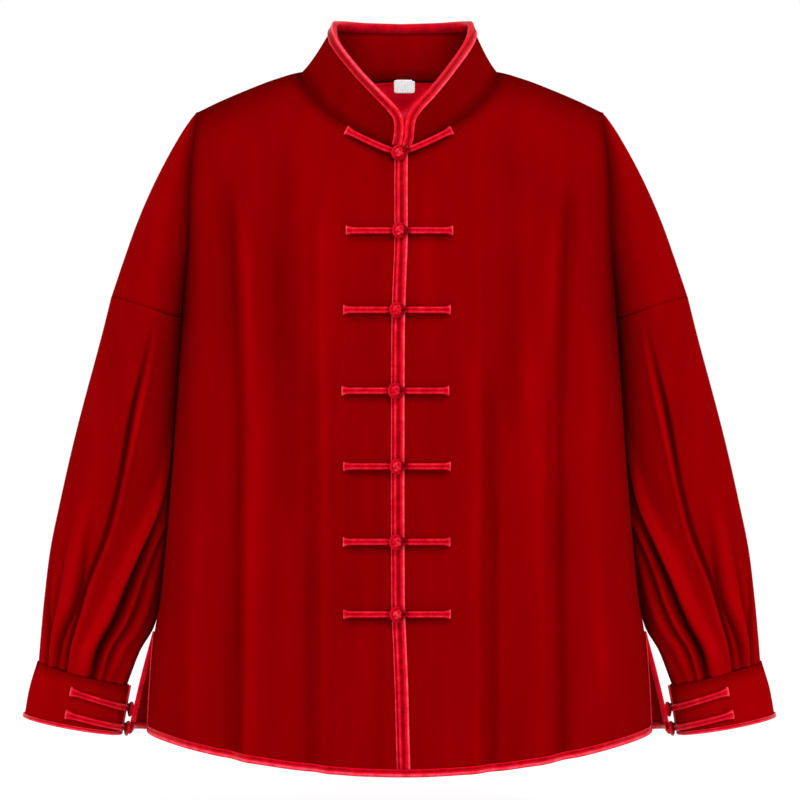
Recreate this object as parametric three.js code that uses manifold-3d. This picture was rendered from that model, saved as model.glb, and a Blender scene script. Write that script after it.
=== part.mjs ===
// A velvet tai chi jacket in its worn, hollow form: a stand collar, two fronts and a back cut in one with
// the upper arms, gathered sleeves in deep cuffs, satin bindings on every edge, and knotted cord fastenings
// (frogs). Millimetres. X runs to the wearer's left, Y to the back and Z up. The origin is in the middle of
// the neck, at the height where the collar leaves the shoulders. Every cloth piece is a wall with its true
// outer face.
import * as THREE from "three";
import { mergeVertices } from "three/addons/utils/BufferGeometryUtils.js";
import Module from "manifold-3d";

const wasm = await Module();
wasm.setup();
const { lerp, clamp, degToRad, smoothstep } = THREE.MathUtils;

// ---- Walls, seams and bindings ----
const velvetWall = 1.6;
const collarWall = 2.4;
const cuffWall = 2.2;
const satinWall = 1;
const liningWall = 1;
const seamGap = 0.4; // between pieces that are sewn together
const bindingLift = 0.5; // between a binding and the cloth that it wraps
const bindingFar = bindingLift + satinWall;
const edgeSetBack = bindingFar + seamGap / 2; // each front edge, from the line where the fronts meet
const collarBindingLift = 0.8;
// How far a binding reaches in from the edge.
const hemBindingLeg = 6.4;
const frontBindingLeg = 5.0;
const collarBindingLeg = 8.0;
const cuffBindingLeg = 2.6;

// ---- The body's frontal outline ----
const neckHalf = 97; // half the neck's width, at the side neck points
const frontNeckZ = -81;
const frontNeckPointed = 1.5; // 2 would round the middle of the front neckline off
const frontNeckPower = 0.6; // below 1, so the neckline leaves the side neck points steeply
const backNeckDrop = 12;
const shoulderTip = { x: 201, z: -40 };
const underarmZ = -246;
const armSeamZ = -225; // the upper arm's seam, at its outer edge
const slitTopZ = -555;
const slitParting = 7; // how far each edge of a side slit stands off the side at the hem
const slitPartingPower = 0.6;
const hemCentreZ = -691;
const hemSideZ = -657;
const hemPower = 1.8;
const shoulderRoll = 60; // the drop over which the cloth turns over the shoulder
const sideFullness = 3; // 2 is an ellipse, more is squarer

// The line where the two bound front edges meet wanders a little.
const meetLine = [
  { z: -81, x: 1.8 },
  { z: -115, x: 1.5 },
  { z: -175, x: 1.5 },
  { z: -215, x: 0 },
  { z: -270, x: -1.4 },
  { z: -520, x: -1.4 },
  { z: -570, x: 0.5 },
  { z: -610, x: 2 },
  { z: -650, x: 3 },
  { z: -691, x: 4.2 },
];
// The shoulder's ridge, from the middle of the neck outwards.
const ridge = [
  { x: 0, z: 10 },
  { x: 97, z: 0 },
  { x: 126, z: -8 },
  { x: 152, z: -18 },
  { x: 178, z: -29 },
  { x: 201, z: -40 },
];
// The outer edge of the upper arm.
const armEdge = [
  { z: -40, x: 201 },
  { z: -48, x: 207.5 },
  { z: -68, x: 220.5 },
  { z: -108, x: 242.5 },
  { z: -148, x: 260.5 },
  { z: -188, x: 275 },
  { z: -225, x: 287.5 },
];
// The fold between body and upper arm, then the body's side: half widths of the front and of the back.
const sideEdge = [
  { z: -40, front: 201, back: 201 },
  { z: -110, front: 206.5, back: 206.5 },
  { z: -178, front: 209, back: 209 },
  { z: -246, front: 217, back: 217 },
  { z: -298, front: 220.5, back: 220.5 },
  { z: -408, front: 228, back: 228 },
  { z: -528, front: 239, back: 239 },
  { z: -555, front: 244, back: 244 },
  { z: -600, front: 247.5, back: 256 },
  { z: -660, front: 250.5, back: 270.5 },
];
// How far the cloth stands before and behind the side line, and what is left of it in the fold at the arm.
const bodyDepth = [
  { z: 10, front: 44, back: 78 },
  { z: -50, front: 60, back: 84 },
  { z: -90, front: 73, back: 90 },
  { z: -140, front: 90, back: 96 },
  { z: -210, front: 102, back: 100 },
  { z: -320, front: 104, back: 97 },
  { z: -450, front: 100, back: 93 },
  { z: -580, front: 100, back: 95 },
  { z: -700, front: 105, back: 101 },
];
const armFold = [
  { z: -40, depth: 32 },
  { z: -70, depth: 40 },
  { z: -110, depth: 43 },
  { z: -160, depth: 37 },
  { z: -205, depth: 21 },
  { z: -246, depth: 0 },
];
const upperArmDepth = [
  { z: -40, depth: 46 },
  { z: -110, depth: 55 },
  { z: -180, depth: 62 },
  { z: -246, depth: 66 },
];

// Soft vertical folds in the body: where each runs at three heights, how wide and how high (below 0, a
// trough), and where it starts and ends.
const foldHeights = [-100, -350, -650];
const frontFolds = [
  { high: -197, middle: -199, low: -206, width: 12, height: 3.0, from: -70, to: -640 },
  { high: -172, middle: -156, low: -163, width: 9, height: -5.0, from: -90, to: -690 },
  { high: -158, middle: -141, low: -146, width: 10, height: 4.0, from: -120, to: -690 },
  { high: -112, middle: -108, low: -112, width: 11, height: -3.2, from: -60, to: -420 },
  { high: -84, middle: -84, low: -82, width: 10, height: -4.2, from: -280, to: -700 },
  { high: -70, middle: -72, low: -68, width: 10, height: 3.4, from: -70, to: -700 },
  { high: -40, middle: -40, low: -42, width: 12, height: 2.2, from: -520, to: -700 },
  { high: 24, middle: 26, low: 28, width: 10, height: 2.6, from: -90, to: -240 },
  { high: 60, middle: 74, low: 74, width: 10, height: 3.0, from: -250, to: -690 },
  { high: 74, middle: 86, low: 86, width: 9, height: -4.8, from: -280, to: -700 },
  { high: 108, middle: 106, low: 110, width: 11, height: -3.0, from: -60, to: -330 },
  { high: 124, middle: 126, low: 130, width: 12, height: 3.0, from: -250, to: -480 },
  { high: 158, middle: 140, low: 138, width: 10, height: 3.6, from: -120, to: -690 },
  { high: 168, middle: 151, low: 158, width: 9, height: -5.0, from: -90, to: -690 },
  { high: 190, middle: 190, low: 200, width: 14, height: 3.0, from: -120, to: -600 },
];
const backFolds = [
  { high: -190, middle: -186, low: -196, width: 13, height: 3.0, from: -90, to: -640 },
  { high: -166, middle: -150, low: -158, width: 10, height: -4.6, from: -100, to: -690 },
  { high: -140, middle: -132, low: -140, width: 11, height: 3.6, from: -140, to: -690 },
  { high: -92, middle: -84, low: -92, width: 11, height: -4.0, from: -170, to: -690 },
  { high: -70, middle: -66, low: -70, width: 12, height: 3.0, from: -200, to: -690 },
  { high: -18, middle: -22, low: -26, width: 12, height: -3.4, from: -260, to: -700 },
  { high: 8, middle: 2, low: -2, width: 12, height: 3.0, from: -300, to: -700 },
  { high: 52, middle: 46, low: 50, width: 11, height: -3.8, from: -210, to: -700 },
  { high: 74, middle: 68, low: 74, width: 12, height: 3.2, from: -180, to: -690 },
  { high: 116, middle: 108, low: 116, width: 11, height: -3.4, from: -120, to: -690 },
  { high: 150, middle: 136, low: 146, width: 11, height: 3.8, from: -130, to: -690 },
  { high: 172, middle: 158, low: 166, width: 10, height: -4.4, from: -100, to: -690 },
  { high: 192, middle: 188, low: 198, width: 13, height: 2.8, from: -100, to: -620 },
];

// ---- Sleeves and cuffs, the wearer's left; the right one mirrors them ----
// Rings along a sleeve: its outer and inner edges in the frontal plane, the ring's middle, and its depths.
const sleeveRings = [
  { t: 0.0, outX: 287.7, outZ: -225.5, inX: 218.4, inZ: -246.5, midY: 0, depth: 66 },
  { t: 0.12, outX: 299.5, outZ: -268, inX: 221, inZ: -290, midY: 10, depth: 63 },
  { t: 0.28, outX: 317, outZ: -328, inX: 223, inZ: -352, midY: 21, depth: 57 },
  { t: 0.41, outX: 330.5, outZ: -378, inX: 226.5, inZ: -404, midY: 26, depth: 53 },
  { t: 0.54, outX: 342.5, outZ: -428, inX: 230.5, inZ: -456, midY: 27, depth: 51 },
  { t: 0.67, outX: 353.5, outZ: -478, inX: 237, inZ: -508, midY: 27, depth: 50 },
  { t: 0.8, outX: 360, outZ: -528, inX: 246, inZ: -556, midY: 25, depth: 47 },
  { t: 0.9, outX: 363.2, outZ: -562, inX: 260, inZ: -583, midY: 23, depth: 41 },
  { t: 1.0, outX: 365.3, outZ: -590, inX: 272, inZ: -615, midY: 21, depth: 34 },
];
const cuffRings = [
  { t: 0, outX: 364.4, outZ: -590.5, inX: 271.9, inZ: -615.4, midY: 21, depth: 34.5 },
  { t: 0.5, outX: 372.5, outZ: -617.5, inX: 276.5, inZ: -640, midY: 21, depth: 36 },
  { t: 1, outX: 377.5, outZ: -645, inX: 280.5, inZ: -663, midY: 21, depth: 37.5 },
];
const sleeveSlitFrom = 0.91; // the sleeve opens above the cuff, at its inner edge
const sleeveSlitHalf = degToRad(5);
const cuffOpeningHalf = degToRad(5);
// Pleats held by the cuff. Angles are round the sleeve, from its outer edge (0) over the front (90) to its
// inner edge (180) and on over the back; each pleat is given at four places along the sleeve.
const pleatPlaces = [0.03, 0.45, 0.75, 1.0];
const pleats = [
  { a: 14, b: 18, c: 28, d: 28, width: 9, height: 4.2, from: 0.62 },
  { a: 60, b: 64, c: 60, d: 52, width: 9, height: 5.0, from: 0.4 },
  { a: 118, b: 106, c: 85, d: 80, width: 8, height: 6.0, from: 0.0 },
  { a: 168, b: 146, c: 116, d: 101, width: 8, height: 6.0, from: 0.25 },
  { a: 190, b: 172, c: 142, d: 124, width: 8, height: 5.6, from: 0.4 },
  { a: 182, b: 178, c: 164, d: 150, width: 9, height: 3.6, from: 0.72 },
  { a: 190, b: 196, c: 203, d: 206, width: 9, height: 3.8, from: 0.7 },
  { a: 196, b: 212, c: 226, d: 234, width: 9, height: 5.4, from: 0.35 },
  { a: 236, b: 248, c: 256, d: 260, width: 9, height: 5.6, from: 0.05 },
  { a: 268, b: 278, c: 284, d: 285, width: 9, height: 5.2, from: 0.3 },
  { a: 300, b: 306, c: 308, d: 309, width: 9, height: 5.0, from: 0.45 },
  { a: 338, b: 334, c: 333, d: 333, width: 9, height: 4.2, from: 0.6 },
];

const pleatGrowth = 0.35; // the share of the sleeve over which a pleat grows from nothing
const pleatGather = 0.45; // what the cuff takes off a pleat's height
const pleatDraw = 2.2; // how far the cloth between pleats is drawn in
const besideBody = { angle: 185, width: 38 }; // the sleeve stays plain where it lies along the body

// ---- The collar: its top edge from the middle of the back to the front end; its base is the neckline ----
// x is measured from the collar's own middle, which sways a little from the jacket's.
const collarTop = [
  { at: 0, x: 0, sway: 2.5, y: 35, z: 50.5 },
  { at: 0.14, x: 36, sway: 2.5, y: 30, z: 51 },
  { at: 0.27, x: 61, sway: 2.8, y: 14, z: 50.5 },
  { at: 0.34, x: 69, sway: 3.2, y: -1, z: 47 },
  { at: 0.45, x: 63, sway: 2.4, y: -16, z: 28 },
  { at: 0.6, x: 43, sway: 3.2, y: -36, z: -2 },
  { at: 0.75, x: 22.5, sway: 6, y: -52.5, z: -26 },
  { at: 0.86, x: 9.6, sway: 5.5, y: -62, z: -43 },
  { at: 0.94, x: 6.0, sway: 2.4, y: -66.5, z: -58.5 },
  { at: 1, x: 1.6, sway: 1.8, y: -69, z: -70 },
];
const collarSide = 0.4; // where the base passes the side neck point

// ---- Frogs: one row each down the front, and two on each cuff ----
const frogReach = 52; // from the knot to the end of a bar
const frogRows = [
  { x: -0.5, z: -87 },
  { x: 0, z: -164 },
  { x: -2.5, z: -241 },
  { x: -4, z: -319 },
  { x: -2.4, z: -392 },
  { x: -2.8, z: -465 },
  { x: -2.4, z: -535 },
];
const topFrogRise = 23; // the top frog's bars follow the neckline
const topFrogCurve = 1.2;
const barHalfWidth = 2.9;
const barHalfThickness = 1.5;
const barFlare = 1.45; // the bar's rolled end, against its middle
const barFlareShare = 0.16; // the share of the bar that the flare takes
const barTaper = 0.1;
const knotNeck = 0.4; // a bar ends this share of the knot's radius from its middle
const knotRadius = 4.4;
const loopRadius = 6.5;
const loopCord = 1.3;
const frogLift = 0.6;
// The cuff's fastenings: their places along the cuff, at the opening and at the ends of their bars.
const cuffFrogs = [
  { opening: 0.46, end: 0.31 },
  { opening: 0.88, end: 0.75 },
];
const cuffFrogSpan = degToRad(96); // how far round the cuff a bar reaches from the opening

// ---- The blank label, sewn on by its top edge ----
const labelX = 5;
const labelWidth = 21;
const labelHeight = 13.5;
const labelWall = 1;
const labelTopZ = -7.5;
const labelLean = degToRad(10);

const finish = (name, color, roughness) =>
  new THREE.MeshStandardMaterial({ name, color, roughness, metalness: 0 });
const velvet = finish("velvet", 0x930202, 0.9);
const satin = finish("satin", 0xd6102c, 0.35);
const tape = finish("label", 0xece9e6, 0.8);
const jacket = new THREE.Group();

// ==== Tables and curves ====

// The value of a table's column at a place in another column, smooth between the rows and held at the ends.
function along(table, by, column, at) {
  const rising = table[1][by] > table[0][by] ? 1 : -1;
  let i = 0;
  while (i < table.length - 2 && (at - table[i + 1][by]) * rising > 0) i++;
  const slope = (a, b) => (table[b][column] - table[a][column]) / (table[b][by] - table[a][by]);
  const from = table[i][by];
  const span = table[i + 1][by] - from;
  const s = clamp((at - from) / span, 0, 1);
  const startSlope = i > 0 ? slope(i - 1, i + 1) : slope(i, i + 1);
  const endSlope = i + 2 < table.length ? slope(i, i + 2) : slope(i, i + 1);
  const start = table[i][column];
  const end = table[i + 1][column];
  return (
    start * (2 * s ** 3 - 3 * s ** 2 + 1) + end * (3 * s ** 2 - 2 * s ** 3) +
    span * (startSlope * (s ** 3 - 2 * s ** 2 + s) + endSlope * (s ** 3 - s ** 2))
  );
}

const ridgeZ = (x) => along(ridge, "x", "z", Math.abs(x));
const meetX = (z) => along(meetLine, "z", "x", z);

// The neckline's height: a deep scoop in front, and just under the ridge behind.
function neckZ(face, x) {
  const q = Math.min(1, Math.abs(x) / neckHalf);
  return face === "front"
    ? frontNeckZ * (1 - q ** frontNeckPointed) ** frontNeckPower
    : ridgeZ(x) - backNeckDrop * (1 - q * q);
}

const hemZ = (u) => lerp(hemCentreZ, hemSideZ, u ** hemPower);

// How far the cloth has turned over the shoulder, 0 on the ridge and 1 once it hangs.
function turnedOver(below) {
  const s = clamp(below / shoulderRoll, 0, 1);
  return Math.sqrt(s * (2 - s));
}

// ==== The body's surface ====

function foldHeight(folds, x, z) {
  let sum = 0;
  for (const fold of folds) {
    const upper = z > foldHeights[1];
    const s = upper
      ? (foldHeights[0] - z) / (foldHeights[0] - foldHeights[1])
      : (foldHeights[1] - z) / (foldHeights[1] - foldHeights[2]);
    const path = upper ? lerp(fold.high, fold.middle, s) : lerp(fold.middle, fold.low, s);
    const fade = smoothstep(fold.from - z, 0, 60) * smoothstep(z - fold.to, -60, 20);
    sum += fold.height * fade * Math.exp(-(((x - path) / fold.width) ** 2));
  }
  return sum;
}

// A point of the body on its front or back face, at a frontal place.
function bodyPoint(face, x, z) {
  const out = face === "front" ? -1 : 1;
  const across = Math.min(1, Math.abs(x) / along(sideEdge, "z", face, z));
  const round = Math.sqrt(1 - across ** sideFullness);
  const held = z > underarmZ ? along(armFold, "z", "depth", z) : 0;
  const full = along(bodyDepth, "z", face, z);
  const slitShare = clamp((slitTopZ - z) / (slitTopZ - hemSideZ), 0, 1);
  const parting = slitParting * slitShare ** slitPartingPower * across ** 8;
  const folds = foldHeight(face === "front" ? frontFolds : backFolds, x, z) * Math.min(1, 1.4 * round);
  const depth = turnedOver(ridgeZ(x) - z) * (held + (full - held) * round) + parting + folds;
  return new THREE.Vector3(x, out * Math.max(depth, seamGap / 2), z);
}

// A point of the upper arm. The row is named by its height at the fold beside the body; across runs from
// there to the outer edge.
function upperArmPoint(face, side, rowZ, across) {
  const out = face === "front" ? -1 : 1;
  const share = (rowZ - shoulderTip.z) / (underarmZ - shoulderTip.z);
  const edgeZ = lerp(shoulderTip.z, armSeamZ, share);
  const turned = turnedOver(shoulderTip.z - rowZ);
  const bulge = along(upperArmDepth, "z", "depth", rowZ) * turned * Math.sqrt(1 - (2 * across - 1) ** 2);
  const held = along(armFold, "z", "depth", rowZ) * turned * Math.sqrt(1 - across ** 2);
  const depth = Math.cbrt(bulge ** 3 + held ** 3);
  return new THREE.Vector3(
    side * lerp(along(sideEdge, "z", face, rowZ), along(armEdge, "z", "x", edgeZ), across),
    out * Math.max(depth, seamGap / 2),
    lerp(rowZ, edgeZ, across),
  );
}

// Rows of the body are named by their heights at the side; columns by their share of the half width.
const rollRows = [-40, -50, -64, -88, -120, -165, -205];
const sideRows = [...rollRows, underarmZ, -305, -370, -435, -500, slitTopZ, -575, -606, -647];
const underarmRow = sideRows.indexOf(underarmZ);
const slitRow = sideRows.indexOf(slitTopZ);
const neckColumns = 8;
const neckEase = 0.6; // columns crowd a little towards the side neck point
const shoulderColumns = 9;
const shoulderEase = 1.35; // and towards the side, where the cloth turns
const armColumns = 7;

// Shares of the half width, from a start at the middle to the side, with one column on the side neck point.
function columnShares(startX, side) {
  const share = (x) => (side * x - startX) / (side * shoulderTip.x - startX);
  const neckShare = share(neckHalf);
  const shares = [];
  for (let i = 0; i <= neckColumns; i++) {
    const s = i / neckColumns;
    shares.push(neckShare * lerp(s, Math.sin((Math.PI / 2) * s), neckEase));
  }
  for (let i = 1; i <= shoulderColumns; i++)
    shares.push(lerp(neckShare, 1, 1 - (1 - i / shoulderColumns) ** shoulderEase));
  return shares;
}

// One half of a body panel as rows of points, from the middle, whose line startAt gives, to the side.
function halfBody(face, side, startAt) {
  const rows = [...sideRows, hemSideZ];
  const shares = columnShares(startAt(frontNeckZ), side);
  return rows.map((rowZ) =>
    shares.map((u) => {
      const topX = lerp(startAt(frontNeckZ), side * shoulderTip.x, u);
      const topZ = Math.abs(topX) < neckHalf - 1e-6 ? neckZ(face, topX) : ridgeZ(topX);
      const down = (rowZ - shoulderTip.z) / (hemSideZ - shoulderTip.z);
      const z = lerp(topZ, hemZ(u), down);
      return bodyPoint(face, lerp(startAt(z), side * along(sideEdge, "z", face, z), u), z);
    }),
  );
}

// The upper arm beside it, from the fold to the outer edge.
function upperArm(face, side) {
  return sideRows.slice(0, underarmRow + 1).map((rowZ) =>
    Array.from({ length: armColumns + 1 }, (_, j) =>
      upperArmPoint(face, side, rowZ, (1 - Math.cos((Math.PI * j) / armColumns)) / 2),
    ),
  );
}

// ==== Cloth walls ====

const keyOf = (p) => [p.x, p.y, p.z].map((v) => Math.round(v * 500)).join();

// Triangles of a grid of points, wound so that a grid whose rows run down and columns run to the viewer's
// right faces the viewer; flipped for the other way round.
function gridTriangles(grid, flipped) {
  const triangles = [];
  for (let i = 0; i + 1 < grid.length; i++)
    for (let j = 0; j + 1 < grid[i].length; j++) {
      const [a, b, c, d] = [grid[i][j], grid[i + 1][j], grid[i + 1][j + 1], grid[i][j + 1]];
      triangles.push(flipped ? [a, c, b] : [a, b, c], flipped ? [a, d, c] : [a, c, d]);
    }
  return triangles;
}

// A closed wall from the triangles of its outer face: the inner face lies one wall thickness in, along the
// vertex normals, and every free edge is closed. normalFix may correct a vertex normal.
function wallFrom(triangles, wall, normalFix = () => {}) {
  const points = [];
  const index = new Map();
  const at = (p) => {
    const key = keyOf(p);
    if (!index.has(key)) index.set(key, points.push(p) - 1);
    return index.get(key);
  };
  const faces = triangles.map((t) => t.map(at)).filter(([a, b, c]) => a !== b && b !== c && c !== a);
  const normals = points.map(() => new THREE.Vector3());
  for (const [a, b, c] of faces) {
    const area = points[b].clone().sub(points[a]).cross(points[c].clone().sub(points[a]));
    for (const i of [a, b, c]) normals[i].add(area);
  }
  points.forEach((p, i) => {
    normals[i].normalize();
    normalFix(p, normals[i]);
    normals[i].normalize();
  });
  const count = points.length;
  const inner = points.map((p, i) => p.clone().addScaledVector(normals[i], -wall));
  const all = faces.flatMap(([a, b, c]) => [[a, b, c], [a + count, c + count, b + count]]);
  const edges = new Set(faces.flatMap(([a, b, c]) => [`${a},${b}`, `${b},${c}`, `${c},${a}`]));
  for (const edge of edges) {
    const [a, b] = edge.split(",").map(Number);
    if (!edges.has(`${b},${a}`)) all.push([b, a, a + count], [b, a + count, b + count]);
  }
  const geometry = new THREE.BufferGeometry();
  geometry.setAttribute("position", new THREE.Float32BufferAttribute(
    [...points, ...inner].flatMap((p) => [p.x, p.y, p.z]), 3));
  geometry.setIndex(all.flat());
  const normalAt = (p) => normals[index.get(keyOf(p))];
  return { geometry, normalAt };
}

function addMesh(name, geometry, material) {
  const mesh = new THREE.Mesh(geometry, material);
  mesh.name = name;
  jacket.add(mesh);
  mesh.updateMatrixWorld(true);
  return mesh;
}

// Front and back meet edge to edge along the shoulders and sides, so their walls are cut square there.
function squareAtSeams(p, normal) {
  if (Math.abs(Math.abs(p.y) - seamGap / 2) < 0.05) normal.y = 0;
  const underarmX = along(sideEdge, "z", "front", underarmZ);
  if (Math.abs(p.z - underarmZ) < 0.01 && Math.abs(Math.abs(p.x) - underarmX) < 0.01) normal.set(0, 0, -1);
}

// ==== Bindings ====

// A point near an edge: a distance in from the edge towards the next line of points, and a distance off
// the cloth.
function fromEdge(station, inwards, off) {
  const { edge, next, edgeNormal, nextNormal } = station;
  const step = next.clone().sub(edge);
  const share = inwards / step.length();
  const normal = edgeNormal.clone().lerp(nextNormal, clamp(share, 0, 1)).normalize();
  return edge.clone().addScaledVector(step, share).addScaledVector(normal, off);
}

// A station part of the way between two others.
function between(a, b, share) {
  const mix = (key) => a[key].clone().lerp(b[key], share);
  return Object.fromEntries(["edge", "next", "edgeNormal", "nextNormal"].map((key) => [key, mix(key)]));
}

// A closed body lofted through sections of the same number of points, given with their flat outline for the
// caps. The quads past the middle section are split the other way, so that a mirrored body has mirrored
// triangles.
function loft(sections, outline) {
  const size = outline.length;
  const middle = (sections.length - 1) / 2;
  const faces = [];
  for (let i = 0; i + 1 < sections.length; i++)
    for (let j = 0; j < size; j++) {
      const [a, b] = [i * size + j, i * size + ((j + 1) % size)];
      if (i < middle) faces.push([a, b, b + size], [a, b + size, a + size]);
      else faces.push([a, b, a + size], [b, b + size, a + size]);
    }
  const last = (sections.length - 1) * size;
  const mirrored = outline.map((q) => new THREE.Vector2(-q.x, q.y));
  const flat = THREE.ShapeUtils.isClockWise(outline) ? mirrored : outline;
  for (const [a, b, c] of THREE.ShapeUtils.triangulateShape(flat, []))
    faces.push([c, b, a], [a + last, b + last, c + last]);
  const geometry = new THREE.BufferGeometry();
  geometry.setAttribute("position", new THREE.Float32BufferAttribute(
    sections.flat().flatMap((p) => [p.x, p.y, p.z]), 3));
  geometry.setIndex(faces.flat());
  return facingOut(geometry);
}

function facingOut(geometry) {
  const p = geometry.attributes.position;
  const index = geometry.index.array;
  const [a, b, c] = [new THREE.Vector3(), new THREE.Vector3(), new THREE.Vector3()];
  let volume = 0;
  for (let i = 0; i < index.length; i += 3) {
    a.fromBufferAttribute(p, index[i]);
    b.fromBufferAttribute(p, index[i + 1]);
    c.fromBufferAttribute(p, index[i + 2]);
    volume += a.dot(b.cross(c));
  }
  if (volume < 0) index.reverse();
  return geometry;
}

// A folded satin strip round a cloth edge: an outer leg, the turn past the edge, and an inner leg.
function binding(stations, wall, leg, near = bindingLift) {
  const far = near + satinWall;
  const outline = [
    [-far, far], [leg, far], [leg, near], [-near, near],
    [-near, -wall - near], [leg, -wall - near], [leg, -wall - far], [-far, -wall - far],
  ].map(([x, y]) => new THREE.Vector2(x, y));
  const section = (station) => outline.map((q) => fromEdge(station, Math.min(q.x, station.room ?? leg), q.y));
  return loft(stations.map(section), outline);
}

// Stations down a column of a grid, with the neighbouring column as the next line.
const columnStations = (grid, normalAt, edge, next) =>
  grid.map((row) => stationOf(row[edge], row[next], normalAt));
const rowStations = (grid, normalAt, edge, next) =>
  grid[edge].map((p, j) => stationOf(p, grid[next][j], normalAt));
const stationOf = (edge, next, normalAt) =>
  ({ edge, next, edgeNormal: normalAt(edge), nextNormal: normalAt(next) });

// The stations with both ends carried on past the last lines of points, to cover the bindings that meet them.
function carriedOn(stations, reach) {
  const ends = [stations.slice(0, 2), stations.slice(-2).toReversed()];
  const [first, last] = ends.map(([a, b]) => between(a, b, -reach / a.edge.distanceTo(b.edge)));
  return [first, ...stations.slice(1, -1), last];
}

// The stations without their last stretch, which another binding covers.
function shortened(stations, cut) {
  const [a, b] = stations.slice(-2);
  const length = a.edge.distanceTo(b.edge);
  return [...stations.slice(0, -1), between(a, b, 1 - cut / length)];
}

// ==== The body's panels and their bindings ====

const sides = [{ name: "right", side: -1 }, { name: "left", side: 1 }];
const hemCover = hemBindingLeg + seamGap; // what a hem's binding takes of the edges that reach it
const slitBindingStart = 0.75; // the share of the slit's first row after which its edges have parted
const fronts = {};

function slitBinding(stations) {
  const started = [between(stations[0], stations[1], slitBindingStart), ...stations.slice(1)];
  return binding(shortened(started, hemCover), velvetWall, hemBindingLeg);
}

for (const { name, side } of sides) {
  const body = halfBody("front", side, (z) => meetX(z) + side * edgeSetBack);
  const faces = [...gridTriangles(body, side < 0), ...gridTriangles(upperArm("front", side), side < 0)];
  const { geometry, normalAt } = wallFrom(faces, velvetWall, squareAtSeams);
  const panel = addMesh(`front_${name}`, geometry, velvet);
  const edge = columnStations(body, normalAt, 0, 1);
  const slit = columnStations(body, normalAt, body[0].length - 1, body[0].length - 2).slice(slitRow);
  const hem = rowStations(body, normalAt, body.length - 1, body.length - 2);
  const folded = binding(shortened(edge, hemCover), velvetWall, frontBindingLeg);
  const edgeBinding = addMesh(`binding_front_${name}`, folded, satin);
  const hemFolded = binding(carriedOn(hem, bindingFar), velvetWall, hemBindingLeg);
  addMesh(`binding_hem_front_${name}`, hemFolded, satin);
  addMesh(`binding_slit_front_${name}`, slitBinding(slit), satin);
  fronts[side] = [panel, edgeBinding];
}

const backHalves = sides.map(({ side }) => halfBody("back", side, () => 0));
const backFaces = sides.flatMap(({ side }, i) => [
  ...gridTriangles(backHalves[i], side > 0),
  ...gridTriangles(upperArm("back", side), side > 0),
]);
const back = wallFrom(backFaces, velvetWall, squareAtSeams);
addMesh("back", back.geometry, velvet);
const [rightHem, leftHem] = backHalves.map((half) =>
  rowStations(half, back.normalAt, half.length - 1, half.length - 2),
);
const backHem = carriedOn([...rightHem.toReversed(), ...leftHem.slice(1)], bindingFar);
addMesh("binding_hem_back", binding(backHem, velvetWall, hemBindingLeg), satin);
sides.forEach(({ name }, i) => {
  const half = backHalves[i];
  const slit = columnStations(half, back.normalAt, half[0].length - 1, half[0].length - 2).slice(slitRow);
  addMesh(`binding_slit_back_${name}`, slitBinding(slit), satin);
});

// The satin lining where it shows, inside the back under the collar.
const liningRows = 7;
const liningColumns = 7;
const liningDrop = 0.05; // the top edge stays this share of a row below the neckline
const liningGrid = backHalves.map((half) =>
  half.slice(0, liningRows).map((row, i) =>
    row.slice(0, liningColumns).map((p, j) => {
      const inside = (q) => q.clone().addScaledVector(back.normalAt(q), -velvetWall - bindingLift);
      return i === 0 ? inside(p).lerp(inside(half[1][j]), liningDrop) : inside(p);
    }),
  ),
);
const lining = wallFrom(
  sides.flatMap(({ side }, i) => gridTriangles(liningGrid[i], side > 0)), liningWall);
const liningMesh = addMesh("lining_back_neck", lining.geometry, satin);

// ==== The label, hanging clear of the lining from its top edge ====

const caster = new THREE.Raycaster();
const rayStart = 400;

// The first place of the cloth on a line along Y, seen from a place on that line.
function clothY(meshes, x, fromY, z) {
  caster.set(new THREE.Vector3(x, fromY, z), new THREE.Vector3(0, 1, 0));
  return caster.intersectObjects(meshes)[0]?.point.y ?? rayStart;
}

const labelTopY = Math.min(...[-0.5, 0, 0.5].map((k) =>
  clothY([liningMesh], labelX + k * labelWidth, 0, labelTopZ))) - bindingLift - labelWall;
const labelShape = new THREE.BoxGeometry(labelWidth, labelWall, labelHeight);
const label = addMesh("label", labelShape.translate(0, 0, -labelHeight / 2), tape);
label.position.set(labelX, labelTopY, labelTopZ);
label.rotation.x = labelLean;

// ==== Collar ====

const collarColumns = 15; // in each half
const collarRows = [0, 0.4, 0.8, 1];
const collarSeat = 0.8; // the band starts this far above the neckline
const collarLegShare = 0.5; // a binding takes up at most this share of the band, where it narrows to its ends

// How far a point on the neckline is carried over towards the line where the fronts meet.
const toMeeting = (at) => meetX(frontNeckZ) * clamp((at - collarSide) / (1 - collarSide), 0, 1) ** 2;

// The neckline from the middle of the back (0) by the side neck point to the front end (1).
function necklinePoint(side, at) {
  if (at <= collarSide) {
    const x = neckHalf * Math.sin((Math.PI / 2) * (at / collarSide));
    return bodyPoint("back", side * x, neckZ("back", x));
  }
  const from = neckHalf * Math.cos((Math.PI / 2) * ((at - collarSide) / (1 - collarSide)));
  const x = side * Math.max(from, edgeSetBack) + toMeeting(at);
  return bodyPoint("front", x, neckZ("front", x));
}

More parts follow.
